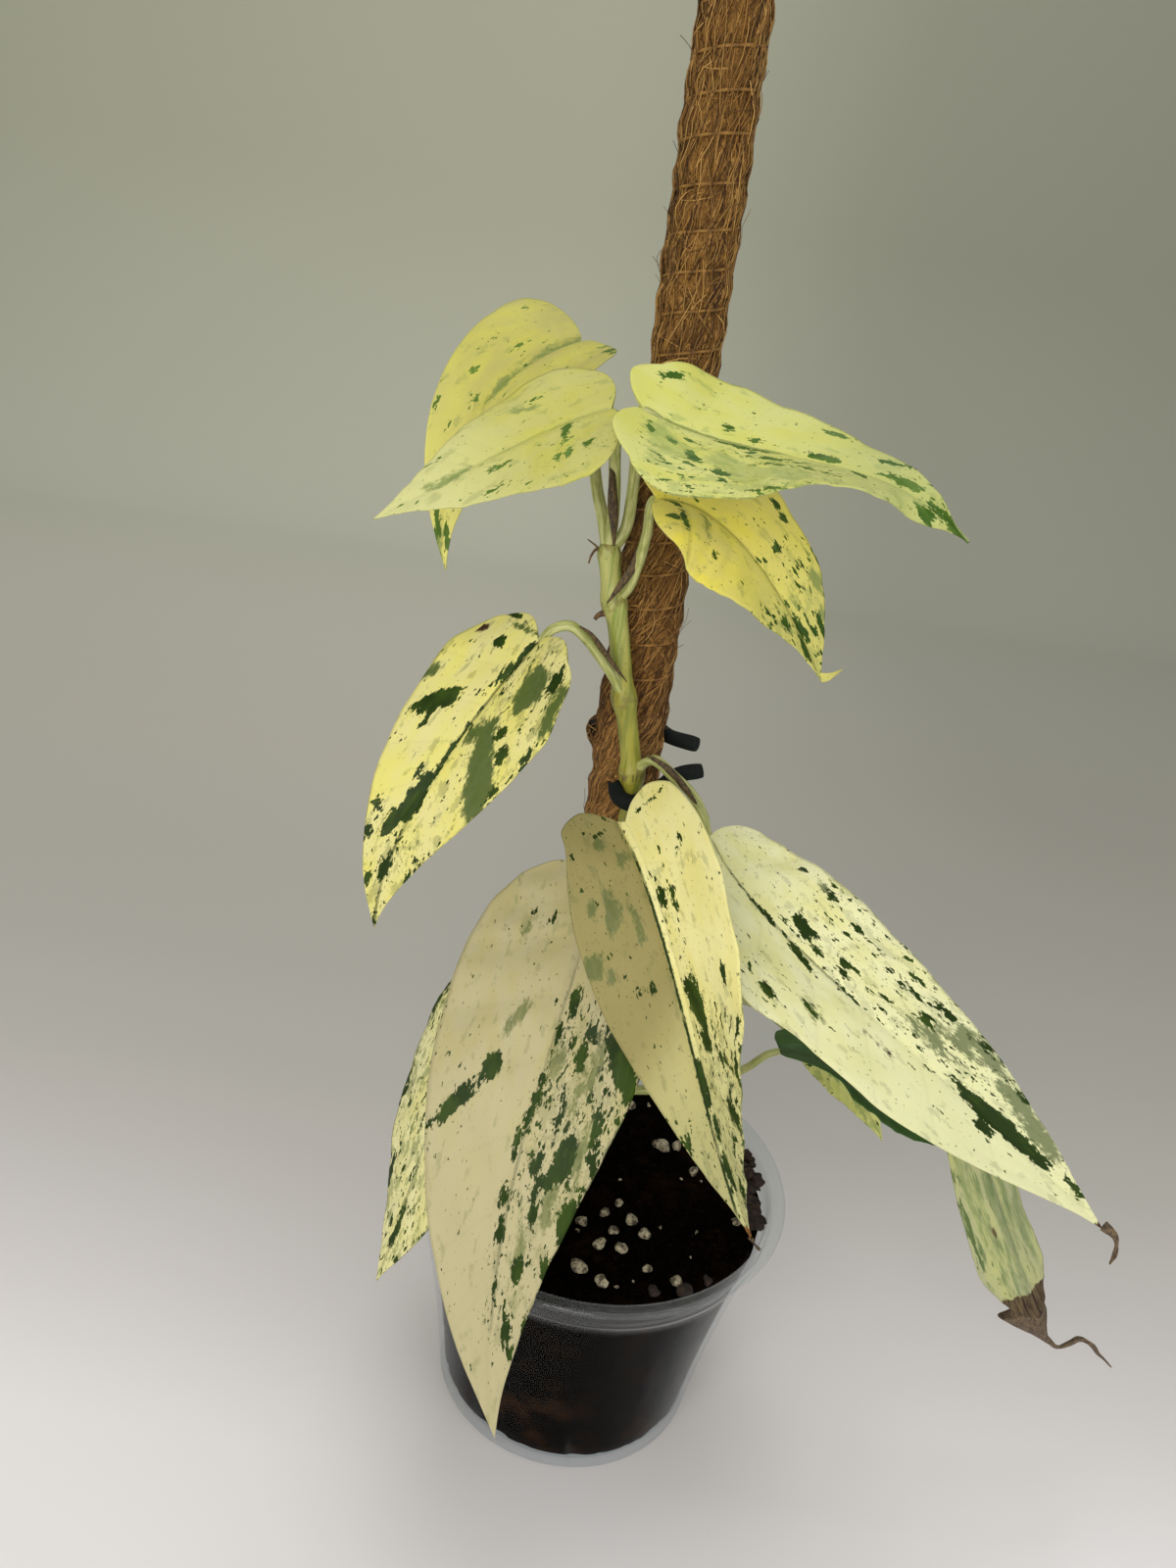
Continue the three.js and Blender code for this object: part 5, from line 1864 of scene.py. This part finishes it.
LEAVES = [
    Leaf(
        name="leaf_top_back", slot="leaf_yellow",
        midrib=[(-29, 15.5, 241.5), (-42.5, 4, 237), (-54.5, 2, 220), (-48.5, -1.5, 197.5)],
        faces=[(0.03, -0.39, 0.92), (0.01, -0.99, 0.16)],
        fold=17, curl=-1, left=14, right=12.5, belly=1.3, lobe=0.4,
        stalk=[(-18.5, 4, 205.5), (-20.2, 4.6, 211), (-22, 5, 216), (-24.5, 8, 226), (-26.5, 12, 234.5)],
        finish=BladeFinish(dark="4b6a22", green="7a9440", pale="b8b365", warm="c4c05a", far="d8d377",
                           midrib=0.25, mottle=0.35, midrib_end=0.5),
        marks=dark([
            (0.11, 0.85, 1, 0.3), (0.24, 0, 1, 0.45), (0.4, 0.45, 0.7, 0.4), (0.3, 0.65, 1.2, 0.25),
            (0.46, 0.15, 1, 0.4), (0.53, 0.6, 1.1, 0.35), (0.22, 0.3, 1, 0.3), (0.03, -0.85, 1, 0.7),
            (0, -0.5, 1.2, 0.6), (0.01, -0.7, 1.5, 0.8), (0.87, 0.1, 4, 0.7), (0.93, -0.06, 3, 0.6),
        ]) + sage([(0.1, 0, 8, 0.7), (0.36, 0, 5, 0.8), (0.92, 0.06, 4, 0.8)]),
        flecks=[(-0.1, 1.1, -1.2, 1.2, 0.08)],
        bulges=[(0.05, 0.06, 0.1, 1)],
    ),
    Leaf(
        name="leaf_top_front", slot="leaf_yellow",
        midrib=[(-21, -13.5, 232.5), (-33, -14, 227.5), (-43.5, -20, 219), (-58, -25, 210)],
        faces=[(-0.3, -0.57, 0.77), (-0.14, -0.75, 0.64)],
        fold=7, curl=-7, left=13.5, right=12, belly=1.1, lobe=0.7,
        stalk=[(-18.4, 4, 205), (-18.2, 2.6, 210.5), (-18.6, 2.4, 216), (-19.4, -1, 223), (-20, -8, 229.5)],
        finish=BladeFinish(dark="4b6a22", green="7c9844", pale="bfbd6f", warm="c0be5c", far="cccc8b",
                           midrib=0.3, mottle=0.3, midrib_end=0.75),
        marks=dark([
            (0.23, -0.22, 3.2, 0.9, -54), (0.32, -0.6, 3, 0.4, -55), (0.25, -0.55, 2.4, 0.7, -55),
            (0.14, -0.55, 1.3, 0.5), (0.6, -0.5, 2, 0.5), (0.55, -0.2, 1.5, 0.4), (0.75, 0.36, 1.2, 0.3),
            (0.3, 0.62, 1.5, 0.6),
        ]) + sage([(0.35, 0.55, 3, 0.7, 25), (0.71, 0, 3.5, 0.9)]),
        flecks=[(-0.1, 1.1, 0, 1.2, 0.08), (-0.1, 1.1, -1.2, 0, 0.16)],
        bulges=[(0.4, 0.07, 0.15, -1)],
    ),
    Leaf(
        name="leaf_top_right", slot="leaf_yellow",
        midrib=[(-15.5, -16, 233.5), (5, -12.5, 225), (25, -19, 234.5), (40, -29, 221)],
        faces=[(0.43, -0.68, 0.6), (-0.86, 0.35, 0.37)],
        fold=15, curl=-12, left=12.5, right=17, belly=1.2, lobe=1.2,
        stalk=[(-18, 4, 204.5), (-15.6, 4.4, 209), (-15.2, 2.4, 216), (-15.6, -4, 224.5), (-15.8, -11, 230.5)],
        finish=BladeFinish(dark="3a5c18", green="7a9444", sage="93a45c", sage_strength=0.45, pale="ced07e",
                           warm="cccd69", far="b5bb71", midrib=0.6, mottle=0.45, midrib_start=0.03,
                           midrib_end=0.45),
        marks=dark([
            (0.3, 0.05, 5, 0.6), (0.36, 0.2, 3, 0.6), (0.04, -0.62, 2.4, 0.8, -30), (0.24, -0.22, 1, 0.7),
            (0.32, -0.15, 1.2, 0.4), (0.03, 0.25, 1.5, 0.5, 70), (0.1, 0.3, 1, 0.5), (0.16, 0.45, 1.6, 0.8, 60),
            (0.17, 0.9, 2, 0.5, 60), (0.25, 0.6, 1.5, 0.9), (0.44, 0.8, 3, 0.4), (0.45, 0.2, 1.5, 0.4),
            (0.5, 0.3, 1.5, 0.4), (0.53, -0.1, 2.2, 0.8), (0.53, -0.6, 1.5, 0.4), (0.64, 0.1, 1.5, 0.7),
            (0.76, -0.1, 3.5, 1), (0.72, -0.38, 3, 0.6), (0.86, 0.1, 2, 0.8), (0.88, 0.13, 2, 0.5),
            (0.93, -0.05, 4, 1), (0.97, 0, 4, 1.2),
        ]) + sage([(0.08, 0.35, 5, 2.5, 30), (0.3, 0.5, 7, 3, 20), (0.45, 0.5, 5, 2.4)]),
        flecks=[(0, 0.6, 0.1, 1.2, 0.62), (0, 0.7, -1.2, 0, 0.1), (0.7, 1.1, -1.2, 1.2, 0.42)],
        bulges=[(0.65, 0.06, 0.12, -1), (0.05, -0.05, 0.1, -1), (0.78, 0.035, 0.1, 1)],
    ),
    Leaf(
        name="leaf_mid_right", slot="leaf_yellow",
        midrib=[(-11, -11, 218.5), (2, -6, 220), (16, -8.5, 204), (24, -14.5, 191)],
        faces=[(0.16, -0.64, 0.75), (0.45, -0.67, 0.59)],
        fold=23, curl=-37, left=15.5, right=15, belly=0.85, lobe=0.95,
        stalk=[(-15.8, 4, 195), (-13.4, 2.4, 198.6), (-12.2, -0.6, 204), (-11.5, -5, 210.5)],
        tip=[(24, -14.5, 191), (25.4, -14.2, 191.4), (28, -12.4, 192.6)],
        finish=BladeFinish(dark="2f4a10", green="66802e", pale="dacf6d", warm="e1d557", far="c7c26a",
                           midrib=0.45, mottle=0.35),
        marks=dark([
            (0.06, 0.1, 2.2, 0.9, 30), (0.05, 0.4, 1.8, 0.9), (0.12, 0.4, 2.2, 1, 70), (0.36, 0.6, 0.8, 0.5),
            (0.43, -0.7, 1, 0.8), (0.48, -0.65, 0.8, 0.8), (0.53, -0.3, 0.9, 0.7), (0.62, -0.75, 1.8, 1),
            (0.63, -0.4, 0.8, 0.6), (0.81, 0, 2.2, 0.8), (0.87, 0.1, 2.8, 1), (0.84, -0.3, 4, 0.6),
            (0.7, 0.4, 0.9, 0.6), (0.76, 0.25, 1.2, 0.8),
        ]) + sage([(0.13, 0.5, 1.5, 1), (0.26, 0.3, 2.6, 1, 60), (0.7, -0.5, 2.2, 0.9), (0.71, -0.1, 1.6, 0.7),
                   (0.76, 0.25, 2, 0.9), (0.8, -0.36, 2, 1)]),
        flecks=[(0.5, 0.7, -1.2, 0, 0.5), (0.65, 1.1, -1.2, 1.2, 0.6), (-0.1, 0.65, -1.2, 1.2, 0.12)],
        bulges=[(0.5, -0.12, 0.12, -1)], ripples=0.25, ridge_shift=0.6,
    ),
    Leaf(
        name="leaf_mid_left", slot="leaf_yellow",
        midrib=[(-29, -5, 187.5), (-39, -10.5, 172.5), (-55, -19, 147.5), (-54, -16.5, 126)],
        faces=[(-0.58, -0.56, 0.59), (0.24, -0.97, -0.1)],
        fold=8, curl=-10, left=16, right=15.5, belly=1.25, lobe=0.95,
        stalk=[(-10.4, 3.6, 175), (-12.8, 0.6, 180), (-17, -2, 185.5), (-20.5, -4, 189.5), (-23.5, -5.4, 191.4),
               (-26.6, -5, 190)],
        finish=BladeFinish(pale="d9d38c", warm="dbd474", midrib=0.7, mottle=0.35, sage="485a2b",
                           sage_strength=0.95),
        marks=dark([
            (0.11, 0.03, 7, 0.9, 5), (0.2, 0.1, 2.5, 0.5, 30), (0.41, 0, 6.5, 0.6), (0.57, 0.05, 6, 1.9),
            (0.65, 0.17, 3.5, 1.5, 20), (0.5, 0.2, 1.5, 0.7), (0.63, 0.45, 1.2, 1.2), (0.325, 0.55, 5.5, 1.9, 35),
            (0.385, 0.5, 1.3, 1), (0.08, 0.42, 1.6, 1.2), (-0.02, 0.7, 4, 1, 90), (0.07, -0.7, 3.4, 1.2),
            (0.28, -0.92, 2.5, 0.7), (0.29, -0.45, 1.8, 1.1), (0.33, -0.62, 2.3, 1.1), (0.46, -0.77, 3, 0.7),
            (0.78, 0.03, 3, 0.9), (0.83, 0.18, 1.4, 1), (0.7, 0.4, 1, 0.8), (0.8, -0.3, 1.8, 0.9),
            (0.72, -0.3, 0.9, 0.6), (0.6, -0.3, 1, 0.6),
        ]) + sage([(0, 0.3, 3, 0.8, 80), (0.27, 0.9, 2, 1.2, 30), (0.13, -0.45, 5.5, 3), (0.14, -0.92, 6, 1.6),
                   (0.41, -0.5, 12, 2.9, -24), (0.33, -0.12, 3, 1.2), (0.44, -0.66, 4, 1.4)])
        + dry([(0.08, 0.85, 1.2, 0.8)]),
        flecks=[(-0.1, 0.3, -1.2, 0, 0.55), (0.3, 0.6, -1.2, 0, 0.4), (0.6, 1.1, -1.2, 1.2, 0.55),
                (0.42, 0.5, 0, 1.2, 0.2), (-0.1, 0.42, 0, 1.2, 0.1)],
    ),
    Leaf(
        name="leaf_front", slot="leaf_cream",
        midrib=[(-7, -14.5, 156.5), (5, -34, 146.5), (15.5, -35, 110.5), (32, -31.5, 75)],
        faces=[(-0.32, -0.58, 0.75), (-0.51, -0.8, -0.32)],
        fold=28, curl=3, left=17, right=17, belly=0.9, lobe=0.9,
        stalk=[(-5.5, 3.4, 149), (-5.6, -2, 150.4), (-6, -7, 153)],
        tip=[(32, -31.5, 75), (33.4, -31.6, 73.2), (34.6, -31, 71.8)], tip_width=(0.8, 0.6, 0.35), tip_dry=0.965,
        finish=BladeFinish(pale="e7e29f", warm="e5dd8d", far="c3c187", sage="636d43", midrib=1.0, mottle=0.3,
                           midrib_start=0.06, midrib_end=0.97, dried="9a6a35", painted_shade_half="968d59"),
        marks=dark([
            (0, -0.4, 3, 0.7, 90), (0.12, -0.6, 1, 0.6), (0.14, -0.5, 0.8, 0.6), (0.22, -0.1, 2.4, 1.2),
            (0.21, -0.25, 1.5, 0.9), (0.25, -0.25, 1.2, 0.7), (0.16, -0.03, 1.2, 0.5), (0.3, -0.4, 1.2, 0.4),
            (0.33, -0.25, 1.2, 0.5), (0.39, -0.75, 1.5, 0.5), (0.455, -0.2, 6, 2.1, -6), (0.53, -0.22, 2.8, 1.5),
            (0.55, -0.5, 2, 0.7), (0.57, -0.55, 1.2, 0.6), (0.57, -0.74, 3, 0.8), (0.63, 0.03, 5, 1.1),
            (0.67, -0.5, 3, 1.5), (0.73, 0, 4, 0.9), (0.7, -0.54, 6, 0.5), (0.77, 0.42, 2.6, 0.9),
            (0.83, 0, 5, 1.1), (0.85, -0.22, 2, 0.6), (0.41, 0.5, 1.2, 1), (0.41, 0.33, 1.4, 0.8),
            (0.37, 0.62, 0.7, 0.6), (0.02, 0.4, 1.6, 0.5, 60), (0.9, -0.2, 3, 0.5),
        ]) + sage([(0.1, 0.25, 2.2, 1.2), (0.05, 0.45, 2, 1), (0.22, 0.55, 5, 1.6), (0.33, 0.9, 3, 2.4),
                   (0.2, 0.75, 2, 1.2), (0.26, 0.3, 4, 1), (0.36, 0.75, 1.4, 1)]),
        flecks=[(0.42, 1.1, -1.2, 0, 0.66), (0.15, 0.45, -0.32, 0, 0.45), (-0.1, 0.45, -1.2, 0, 0.12),
                (-0.1, 0.25, 0, 1.2, 0.3), (0.25, 0.45, 0, 1.2, 0.15), (0.45, 0.7, 0, 1.2, 0.05),
                (0.7, 1.1, 0, 1.2, 0.45)],
        ridge_shift=1.3, bulges=[(-0.02, 0.1, 0.05, 1)],
    ),
    Leaf(
        name="leaf_front_left", slot="leaf_cream",
        midrib=[(-10, -4.5, 138.5), (-12, -29.5, 118.5), (-26, -51, 87), (-14.5, -60, 42)],
        faces=[(-0.27, -0.59, 0.76), (0.21, -0.95, 0.24)],
        fold=4, curl=-16, left=19, right=24, belly=0.95, lobe=0.7,
        stalk=[(-5, 3.6, 130), (-6.4, 1, 133.4), (-8, -1, 136.4)],
        finish=BladeFinish(pale="bdb58c", warm="bbb27f", far="b6ae85", sage="747b4a", midrib=0.4, mottle=0.3,
                           midrib_end=0.85),
        marks=dark([
            (0.26, -0.1, 3.5, 1.1), (0.32, -0.03, 2, 0.6), (0.34, -0.33, 4.5, 1), (0.345, -0.75, 9, 2.4, -30),
            (0.43, -0.02, 3, 0.7), (0.47, 0, 3.5, 0.9), (0.52, 0.05, 3, 0.7), (0.47, -0.7, 3.4, 1.1),
            (0.535, -0.45, 5, 1.9), (0.575, -0.35, 2.4, 1.5), (0.55, -0.2, 2.2, 1.1), (0.53, -0.75, 2.4, 0.8),
            (0.62, -0.25, 5, 0.8), (0.615, 0.05, 2.6, 0.8), (0.665, 0.03, 3, 0.9), (0.65, -0.65, 6, 2.2, -10),
            (0.735, -0.2, 2.6, 1.3), (0.73, -0.5, 3, 1.2), (0.77, 0, 2, 0.5), (0.83, -0.15, 3, 1),
            (0.83, -0.35, 2.5, 1), (0.87, -0.2, 2, 0.7), (0.415, 0.42, 2.9, 2), (0.49, 0.62, 6.6, 1.6, 32),
            (0.42, 0.8, 1.2, 0.9), (0.27, 0.08, 0.9, 0.6), (0.1, 0.3, 1.3, 0.5), (0.38, 0.98, 3, 0.5),
            (0.28, 0.62, 0.7, 0.5), (0.57, 0.75, 0.8, 0.7),
        ]) + sage([(0.32, 0.35, 4, 1.2, 20), (0.15, 0.5, 2.4, 1), (0.38, -0.12, 4, 1.2), (0.44, -0.4, 4, 1),
                   (0.36, -0.5, 6, 1.3), (0.52, -0.6, 7, 1.1), (0.6, -0.4, 7, 1.2), (0.7, -0.2, 6, 0.9)]),
        flecks=[(0.25, 0.65, -1.2, 0, 0.85), (0.65, 0.85, -1.2, 0.1, 0.6), (-0.1, 0.25, -1.2, 0, 0.2),
                (-0.1, 1.1, 0, 1.2, 0.05), (0.05, 0.2, 0.2, 0.7, 0.3), (0.82, 0.95, 0, 1, 0.2)],
    ),
    Leaf(
        name="leaf_behind_left", slot="leaf_cream",
        midrib=[(-19.5, -6, 123.5), (-38.5, -20, 108), (-36.5, -32, 81.5), (-44, -37.5, 54.5)],
        faces=[(-0.29, -0.5, 0.81), (-0.71, -0.63, 0.32)],
        fold=-1, curl=-22, left=15, right=13.5, belly=0.65, lobe=1,
        stalk=[(-5, 3.7, 113), (-9, 2.4, 118), (-14, -1, 122)],
        finish=BladeFinish(pale="e1dda6", warm="d8d38f", midrib=0.4, mottle=0.6),
        marks=dark([(0.85, 0, 5, 0.8), (0.3, 0.95, 5, 0.8), (0.55, 0.95, 6, 0.8), (0.75, 0.58, 4, 0.8)]),
        flecks=[(-0.1, 1.1, -1.2, 1.2, 0.6)],
    ),
    Leaf(
        name="leaf_right", slot="leaf_cream",
        midrib=[(11, -3, 151.5), (19, -21.5, 141), (62, -25.5, 120), (99, -35, 93.5)],
        faces=[(0.35, -0.34, 0.87), (0.13, -0.86, 0.49)],
        fold=12, curl=-8, left=17.5, right=19.5, belly=0.75, lobe=0.65,
        stalk=[(-6.6, 3.2, 160), (-4.4, 1, 163.8), (-2.4, -2.4, 165.6), (1.2, -4, 163.6), (5.4, -4.4, 160.6),
               (9, -3.8, 155.6)],
        tip=[(98.8, -35.2, 94.4), (101.2, -35.8, 93), (102, -36.2, 91.4), (102.3, -36.6, 89), (101.9, -36.8, 86.6)],
        tip_width=(1.1, 0.8, 0.35, 0.55, 0.2), tip_dry=0.985,
        finish=BladeFinish(pale="e9e8b4", warm="e2e09c", far="dfe0ac", sage="4d5b36", midrib=0.6, mottle=0.22,
                           midrib_end=0.5),
        marks=dark([
            (0.24, 0.01, 7, 0.7), (0.36, 0.06, 4.4, 1.1, 8), (0.335, -0.24, 3.6, 1.7), (0.31, -0.1, 2, 0.4),
            (0.3, -0.38, 0.9, 0.7), (0.385, -0.13, 1.1, 0.8), (0.435, -0.27, 1.2, 1.2), (0.44, -0.15, 2, 0.5),
            (0.46, -0.28, 1.5, 0.4), (0.5, -0.2, 1, 0.6), (0.235, -0.8, 1.3, 0.9), (0.2, -0.9, 0.8, 0.4),
            (0.335, -0.8, 2.4, 0.9), (0.42, -0.7, 2.2, 0.6), (0.53, -0.55, 0.9, 0.9), (0.57, -0.55, 1.5, 0.6),
            (0.6, -0.4, 1.9, 1), (0.62, -0.62, 2.2, 0.7), (0.7, -0.6, 3.5, 0.6), (0.8, -0.46, 6, 0.5),
            (0.785, -0.05, 10.5, 1.9), (0.77, 0.12, 2.4, 1.1), (0.925, -0.1, 2.4, 0.8), (0.36, 0.75, 2.4, 1.3),
            (0.43, 0.5, 2.6, 0.8), (0.63, 0.13, 1.5, 0.5, 35), (0.65, 0.02, 0.8, 0.5), (0.62, 0.6, 0.5, 0.5),
            (0.48, 0, 3, 0.4),
        ]) + sage([(0.67, -0.56, 3, 1.9), (0.715, -0.53, 3.6, 1.6), (0.78, -0.4, 5.5, 1.7), (0.845, -0.26, 6, 1.7),
                   (0.63, -0.25, 6, 1.2), (0.66, -0.42, 5, 1), (0.31, -0.8, 2.2, 1), (0.43, 0.5, 3.2, 1.3)])
        + dry([(0.55, 0.22, 1.3, 0.25)]),
        bulges=[(0.47, -0.15, 0.14, 1), (0.34, 0.1, 0.06, 1)],
        flecks=[(-0.1, 0.3, -1.2, 0, 0.15), (0.3, 1.1, -1.2, 0, 0.5), (0.48, 0.74, -0.8, -0.05, 0.62),
                (-0.1, 1.1, 0, 1.2, 0.08), (0.25, 0.45, 0.4, 1.2, 0.3)],
    ),
    Leaf(
        name="leaf_dark", slot="leaf_green",
        midrib=[(35.5, -2, 102.5), (52.5, -1.5, 104.5), (60, -5.5, 92.5), (75, -10, 88.5)],
        faces=[(-0.12, 0.24, 0.96), (0.15, -0.32, 0.94)],
        fold=12, curl=-3, left=10, right=14, belly=0.9, lobe=0.25,
        stalk=[(-4.2, 3.7, 84), (0.6, 2.4, 82.4), (8, 1.4, 83.6), (17, 0.4, 87), (28, -2, 95), (33, -2.4, 100.6)],
        finish=BladeFinish(pale="3f5f2c", warm="33521f", dark="1f3a10", green="2f4d1e", sage="4d6b3c",
                           under="5a7446", mottle=0.5, midrib=0.0),
        marks=(), flecks=[(-0.1, 1.1, -1.2, 1.2, 0.25)],
    ),
    Leaf(
        name="leaf_small", slot="leaf_yellow",
        midrib=[(44.5, 13, 93.5), (54, 17, 89), (61.5, 15.5, 80.5), (68.5, 12.5, 71)],
        faces=[(0.53, -0.59, 0.61), (0.21, -0.88, 0.43)],
        fold=19, curl=-3, left=7, right=7, belly=1, lobe=0.9,
        stalk=[(-4.6, 3.7, 98), (2, 2.6, 103), (12, 5, 108.6), (28, 10, 106), (39, 12.8, 98.6)],
        finish=BladeFinish(pale="c4c577", warm="bbbe66", sage="8b9a5a", mottle=0.6, midrib=0.2),
        marks=sage([(0.2, 0.3, 5, 0.8), (0.5, -0.3, 6, 0.9), (0.7, 0.2, 4, 0.8), (0.35, -0.6, 4, 0.6)]),
        flecks=[(-0.1, 1.1, -1.2, 1.2, 0.35)],
    ),
    Leaf(
        name="leaf_drooping", slot="leaf_pale_green",
        midrib=[(72, -15, 105), (85, -21, 81), (97.5, -23.5, 59), (107.5, -11, 45.5)],
        faces=[(-0.28, 0.89, -0.37), (-0.5, 0.79, 0.36)],
        fold=15, curl=-3, left=7.5, right=7.5, belly=0.6, lobe=1,
        stalk=[(-5, 3.7, 113), (2, 0.6, 115.6), (20, -1, 118), (45, -6, 117), (64, -12, 111.6)],
        tip=[(101.1, -13.6, 50), (106.2, -12.6, 43.8), (109.9, -11.8, 40.3), (114, -11, 37.7), (116.3, -10.6, 39),
             (118.4, -10.2, 40.2), (121.1, -10, 39.3), (123.8, -9.8, 36.7), (126.4, -9.6, 34.6),
             (128.6, -9.4, 32.6)],
        tip_width=(5.6, 4.8, 3.1, 1.2, 0.8, 1.2, 1.4, 1.1, 0.8, 0.35), tip_dry=0.71,
        finish=BladeFinish(pale="a9ab80", warm="b6b878", dark="4a602c", green="7a8c50", sage="66794a",
                           under="a3ac80", dried="66573c", blur=4, mottle=0.9, midrib=0.3,
                           grain=(0.16, 1.3, 0.0), veil=0.1, sage_strength=0.75),
        marks=dark([(0.35, -0.9, 6, 0.7), (0.2, -0.8, 4, 0.5), (0.48, -0.93, 4, 0.5)]) + sage([
            (0.3, 0.4, 14, 0.9), (0.45, -0.4, 13, 0.8), (0.2, 0, 12, 0.8), (0.5, 0.7, 10, 0.8), (0.4, 0.1, 14, 0.7),
            (0.25, -0.6, 9, 0.8), (0.55, -0.1, 8, 0.6), (0.35, 0.85, 9, 0.6),
        ]) + dry([(0.4, -0.25, 0.9, 0.6)]),
        flecks=[(-0.1, 0.7, -1.2, 1.2, 0.3)],
        bulges=[(0.55, 0.15, 0.15, -1)],
    ),
]


# Studio


@dataclass
class Studio:
    """The plain pale floor that curves up into a wall, the soft lights and the camera."""

    front: float = -1600
    wall: float = 1250
    half_width: float = 2600
    top: float = 2600
    curve: float = 350
    curve_steps: int = 16
    eye: Point = (-15.4, -224.5, 248.9)
    pitch: float = 22.16
    roll: float = -8.49
    lens: float = 27
    sensor: float = 36
    lights: Sequence[tuple[str, Point, Point, float, float, str]] = (
        ("key_light", (-250, -880, 460), (0, 0, 140), 760, 6.4, "fffaf2"),
        ("fill_light", (760, -680, 520), (0, 0, 120), 800, 2.2, "f6f6ff"),
        ("top_light", (0, 350, 1500), (0, 250, 0), 900, 7, "fbfaff"),
    )
    room: Colour = (0.9, 0.92, 0.95, 1.0)
    room_strength: float = 0.33

    def build_backdrop(self) -> None:
        """Makes the floor and the wall as one sheet."""
        profile = [(self.front, 0.0), (-600.0, 0.0), (0.0, 0.0), (self.wall - self.curve, 0.0)]
        for i in range(1, self.curve_steps + 1):
            angle = math.pi / 2 * i / self.curve_steps
            profile.append((self.wall - self.curve + self.curve * math.sin(angle),
                            self.curve - self.curve * math.cos(angle)))
        profile.append((self.wall, self.top))
        points = []
        for y, z in profile:
            points += [(-self.half_width, y, z), (self.half_width, y, z)]
        faces = [[2 * i, 2 * i + 1, 2 * i + 3, 2 * i + 2] for i in range(len(profile) - 1)]
        mesh = bpy.data.meshes.new("backdrop")
        mesh.from_pydata((np.array(points) * MM).tolist(), [], faces)
        mesh.polygons.foreach_set("use_smooth", [True] * len(faces))
        mesh.materials.append(BackdropFinish().material())
        sheet = bpy.data.objects.new("backdrop", mesh)
        bpy.context.scene.collection.objects.link(sheet)

    def build_lights(self) -> None:
        """Sets up the soft square lights by place, aim, side, power and colour, and soft light all round."""
        for name, place, aim, size, power, code in self.lights:
            lamp = bpy.data.lights.new(name, "AREA")
            lamp.size = size * MM
            lamp.energy = power
            lamp.color = colour(code)[:3]
            holder = bpy.data.objects.new(name, lamp)
            holder.location = Vector(place) * MM
            holder.rotation_euler = (Vector(aim) - Vector(place)).to_track_quat("-Z", "Y").to_euler()
            bpy.context.scene.collection.objects.link(holder)
        world = bpy.data.worlds.new("soft_room")
        world.use_nodes = True
        background = world.node_tree.nodes["Background"].inputs
        background["Color"].default_value = self.room
        background["Strength"].default_value = self.room_strength
        bpy.context.scene.world = world

    def build_camera(self) -> None:
        """Places the camera where the photograph was taken from."""
        pitch, roll = math.radians(self.pitch), math.radians(self.roll)
        forward = np.array([0, math.cos(pitch), -math.sin(pitch)])
        right = np.array([1.0, 0, 0])
        down = np.cross(forward, right)
        across = math.cos(roll) * right + math.sin(roll) * down
        fall = math.cos(roll) * down - math.sin(roll) * right
        lens = bpy.data.cameras.new("camera")
        lens.lens = self.lens
        lens.sensor_width = self.sensor
        lens.sensor_fit = "AUTO"
        lens.clip_start = 0.01
        lens.clip_end = 50
        camera = bpy.data.objects.new("camera", lens)
        turn = np.column_stack([across, -fall, -forward])
        camera.matrix_world = Matrix.Translation(Vector(self.eye) * MM) @ Matrix(turn.tolist()).to_4x4()
        bpy.context.scene.collection.objects.link(camera)
        bpy.context.scene.camera = camera

    def build(self) -> None:
        """Makes the studio."""
        self.build_backdrop()
        self.build_lights()
        self.build_camera()
        bpy.context.scene.view_settings.view_transform = "Standard"
        bpy.context.scene.view_settings.look = "None"


SHEATHS = [
    Sheath("sheath_top", [(-17.2, 0, 206.6), (-18, -0.2, 211.5), (-19, -0.4, 217), (-19.8, -0.2, 222.5)], 1.0),
    Sheath("sheath_mid_right", [(-16.9, -0.2, 195.6), (-15.1, -0.6, 199), (-13, -1, 203.6), (-12.2, -1.6, 207.6),
                                (-12, -2, 210.6)], 0.8),
    Sheath("sheath_mid_left", [(-10.8, -0.6, 180.6), (-13.6, -1.6, 183.6), (-16.5, -3, 187.1), (-19.1, -4.6, 190.2),
                               (-21.4, -5.8, 191.7)], 0.5),
    Sheath("sheath_right", [(-4.7, -2.8, 166.7), (-1.5, -4.6, 166), (1.4, -5.4, 164.3), (4.1, -5.8, 161.9),
                            (6.8, -5.6, 159)], 0.75),
]


def main() -> None:
    """Builds the studio, then builds and dresses the whole plant."""
    logging.basicConfig(level=logging.INFO, format="%(name)s: %(message)s")
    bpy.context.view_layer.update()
    Studio().build()
    pot = Pot()
    pot.build()
    PottingMix(pot).build()
    CoirPole().build()
    Tie().build()
    Stem().build()
    sheath_finish = dried("dry_sheath_skin", "6c5731", "2c1f0f").material()
    for sheath in SHEATHS:
        sheath.build(sheath_finish)
    stalk_finish = StalkFinish().material()
    end_finish = dried("dried_end", "745f42", "352a1c").material()
    for leaf in LEAVES:
        leaf.build(stalk_finish, end_finish)


if __name__ == "__main__":
    main()
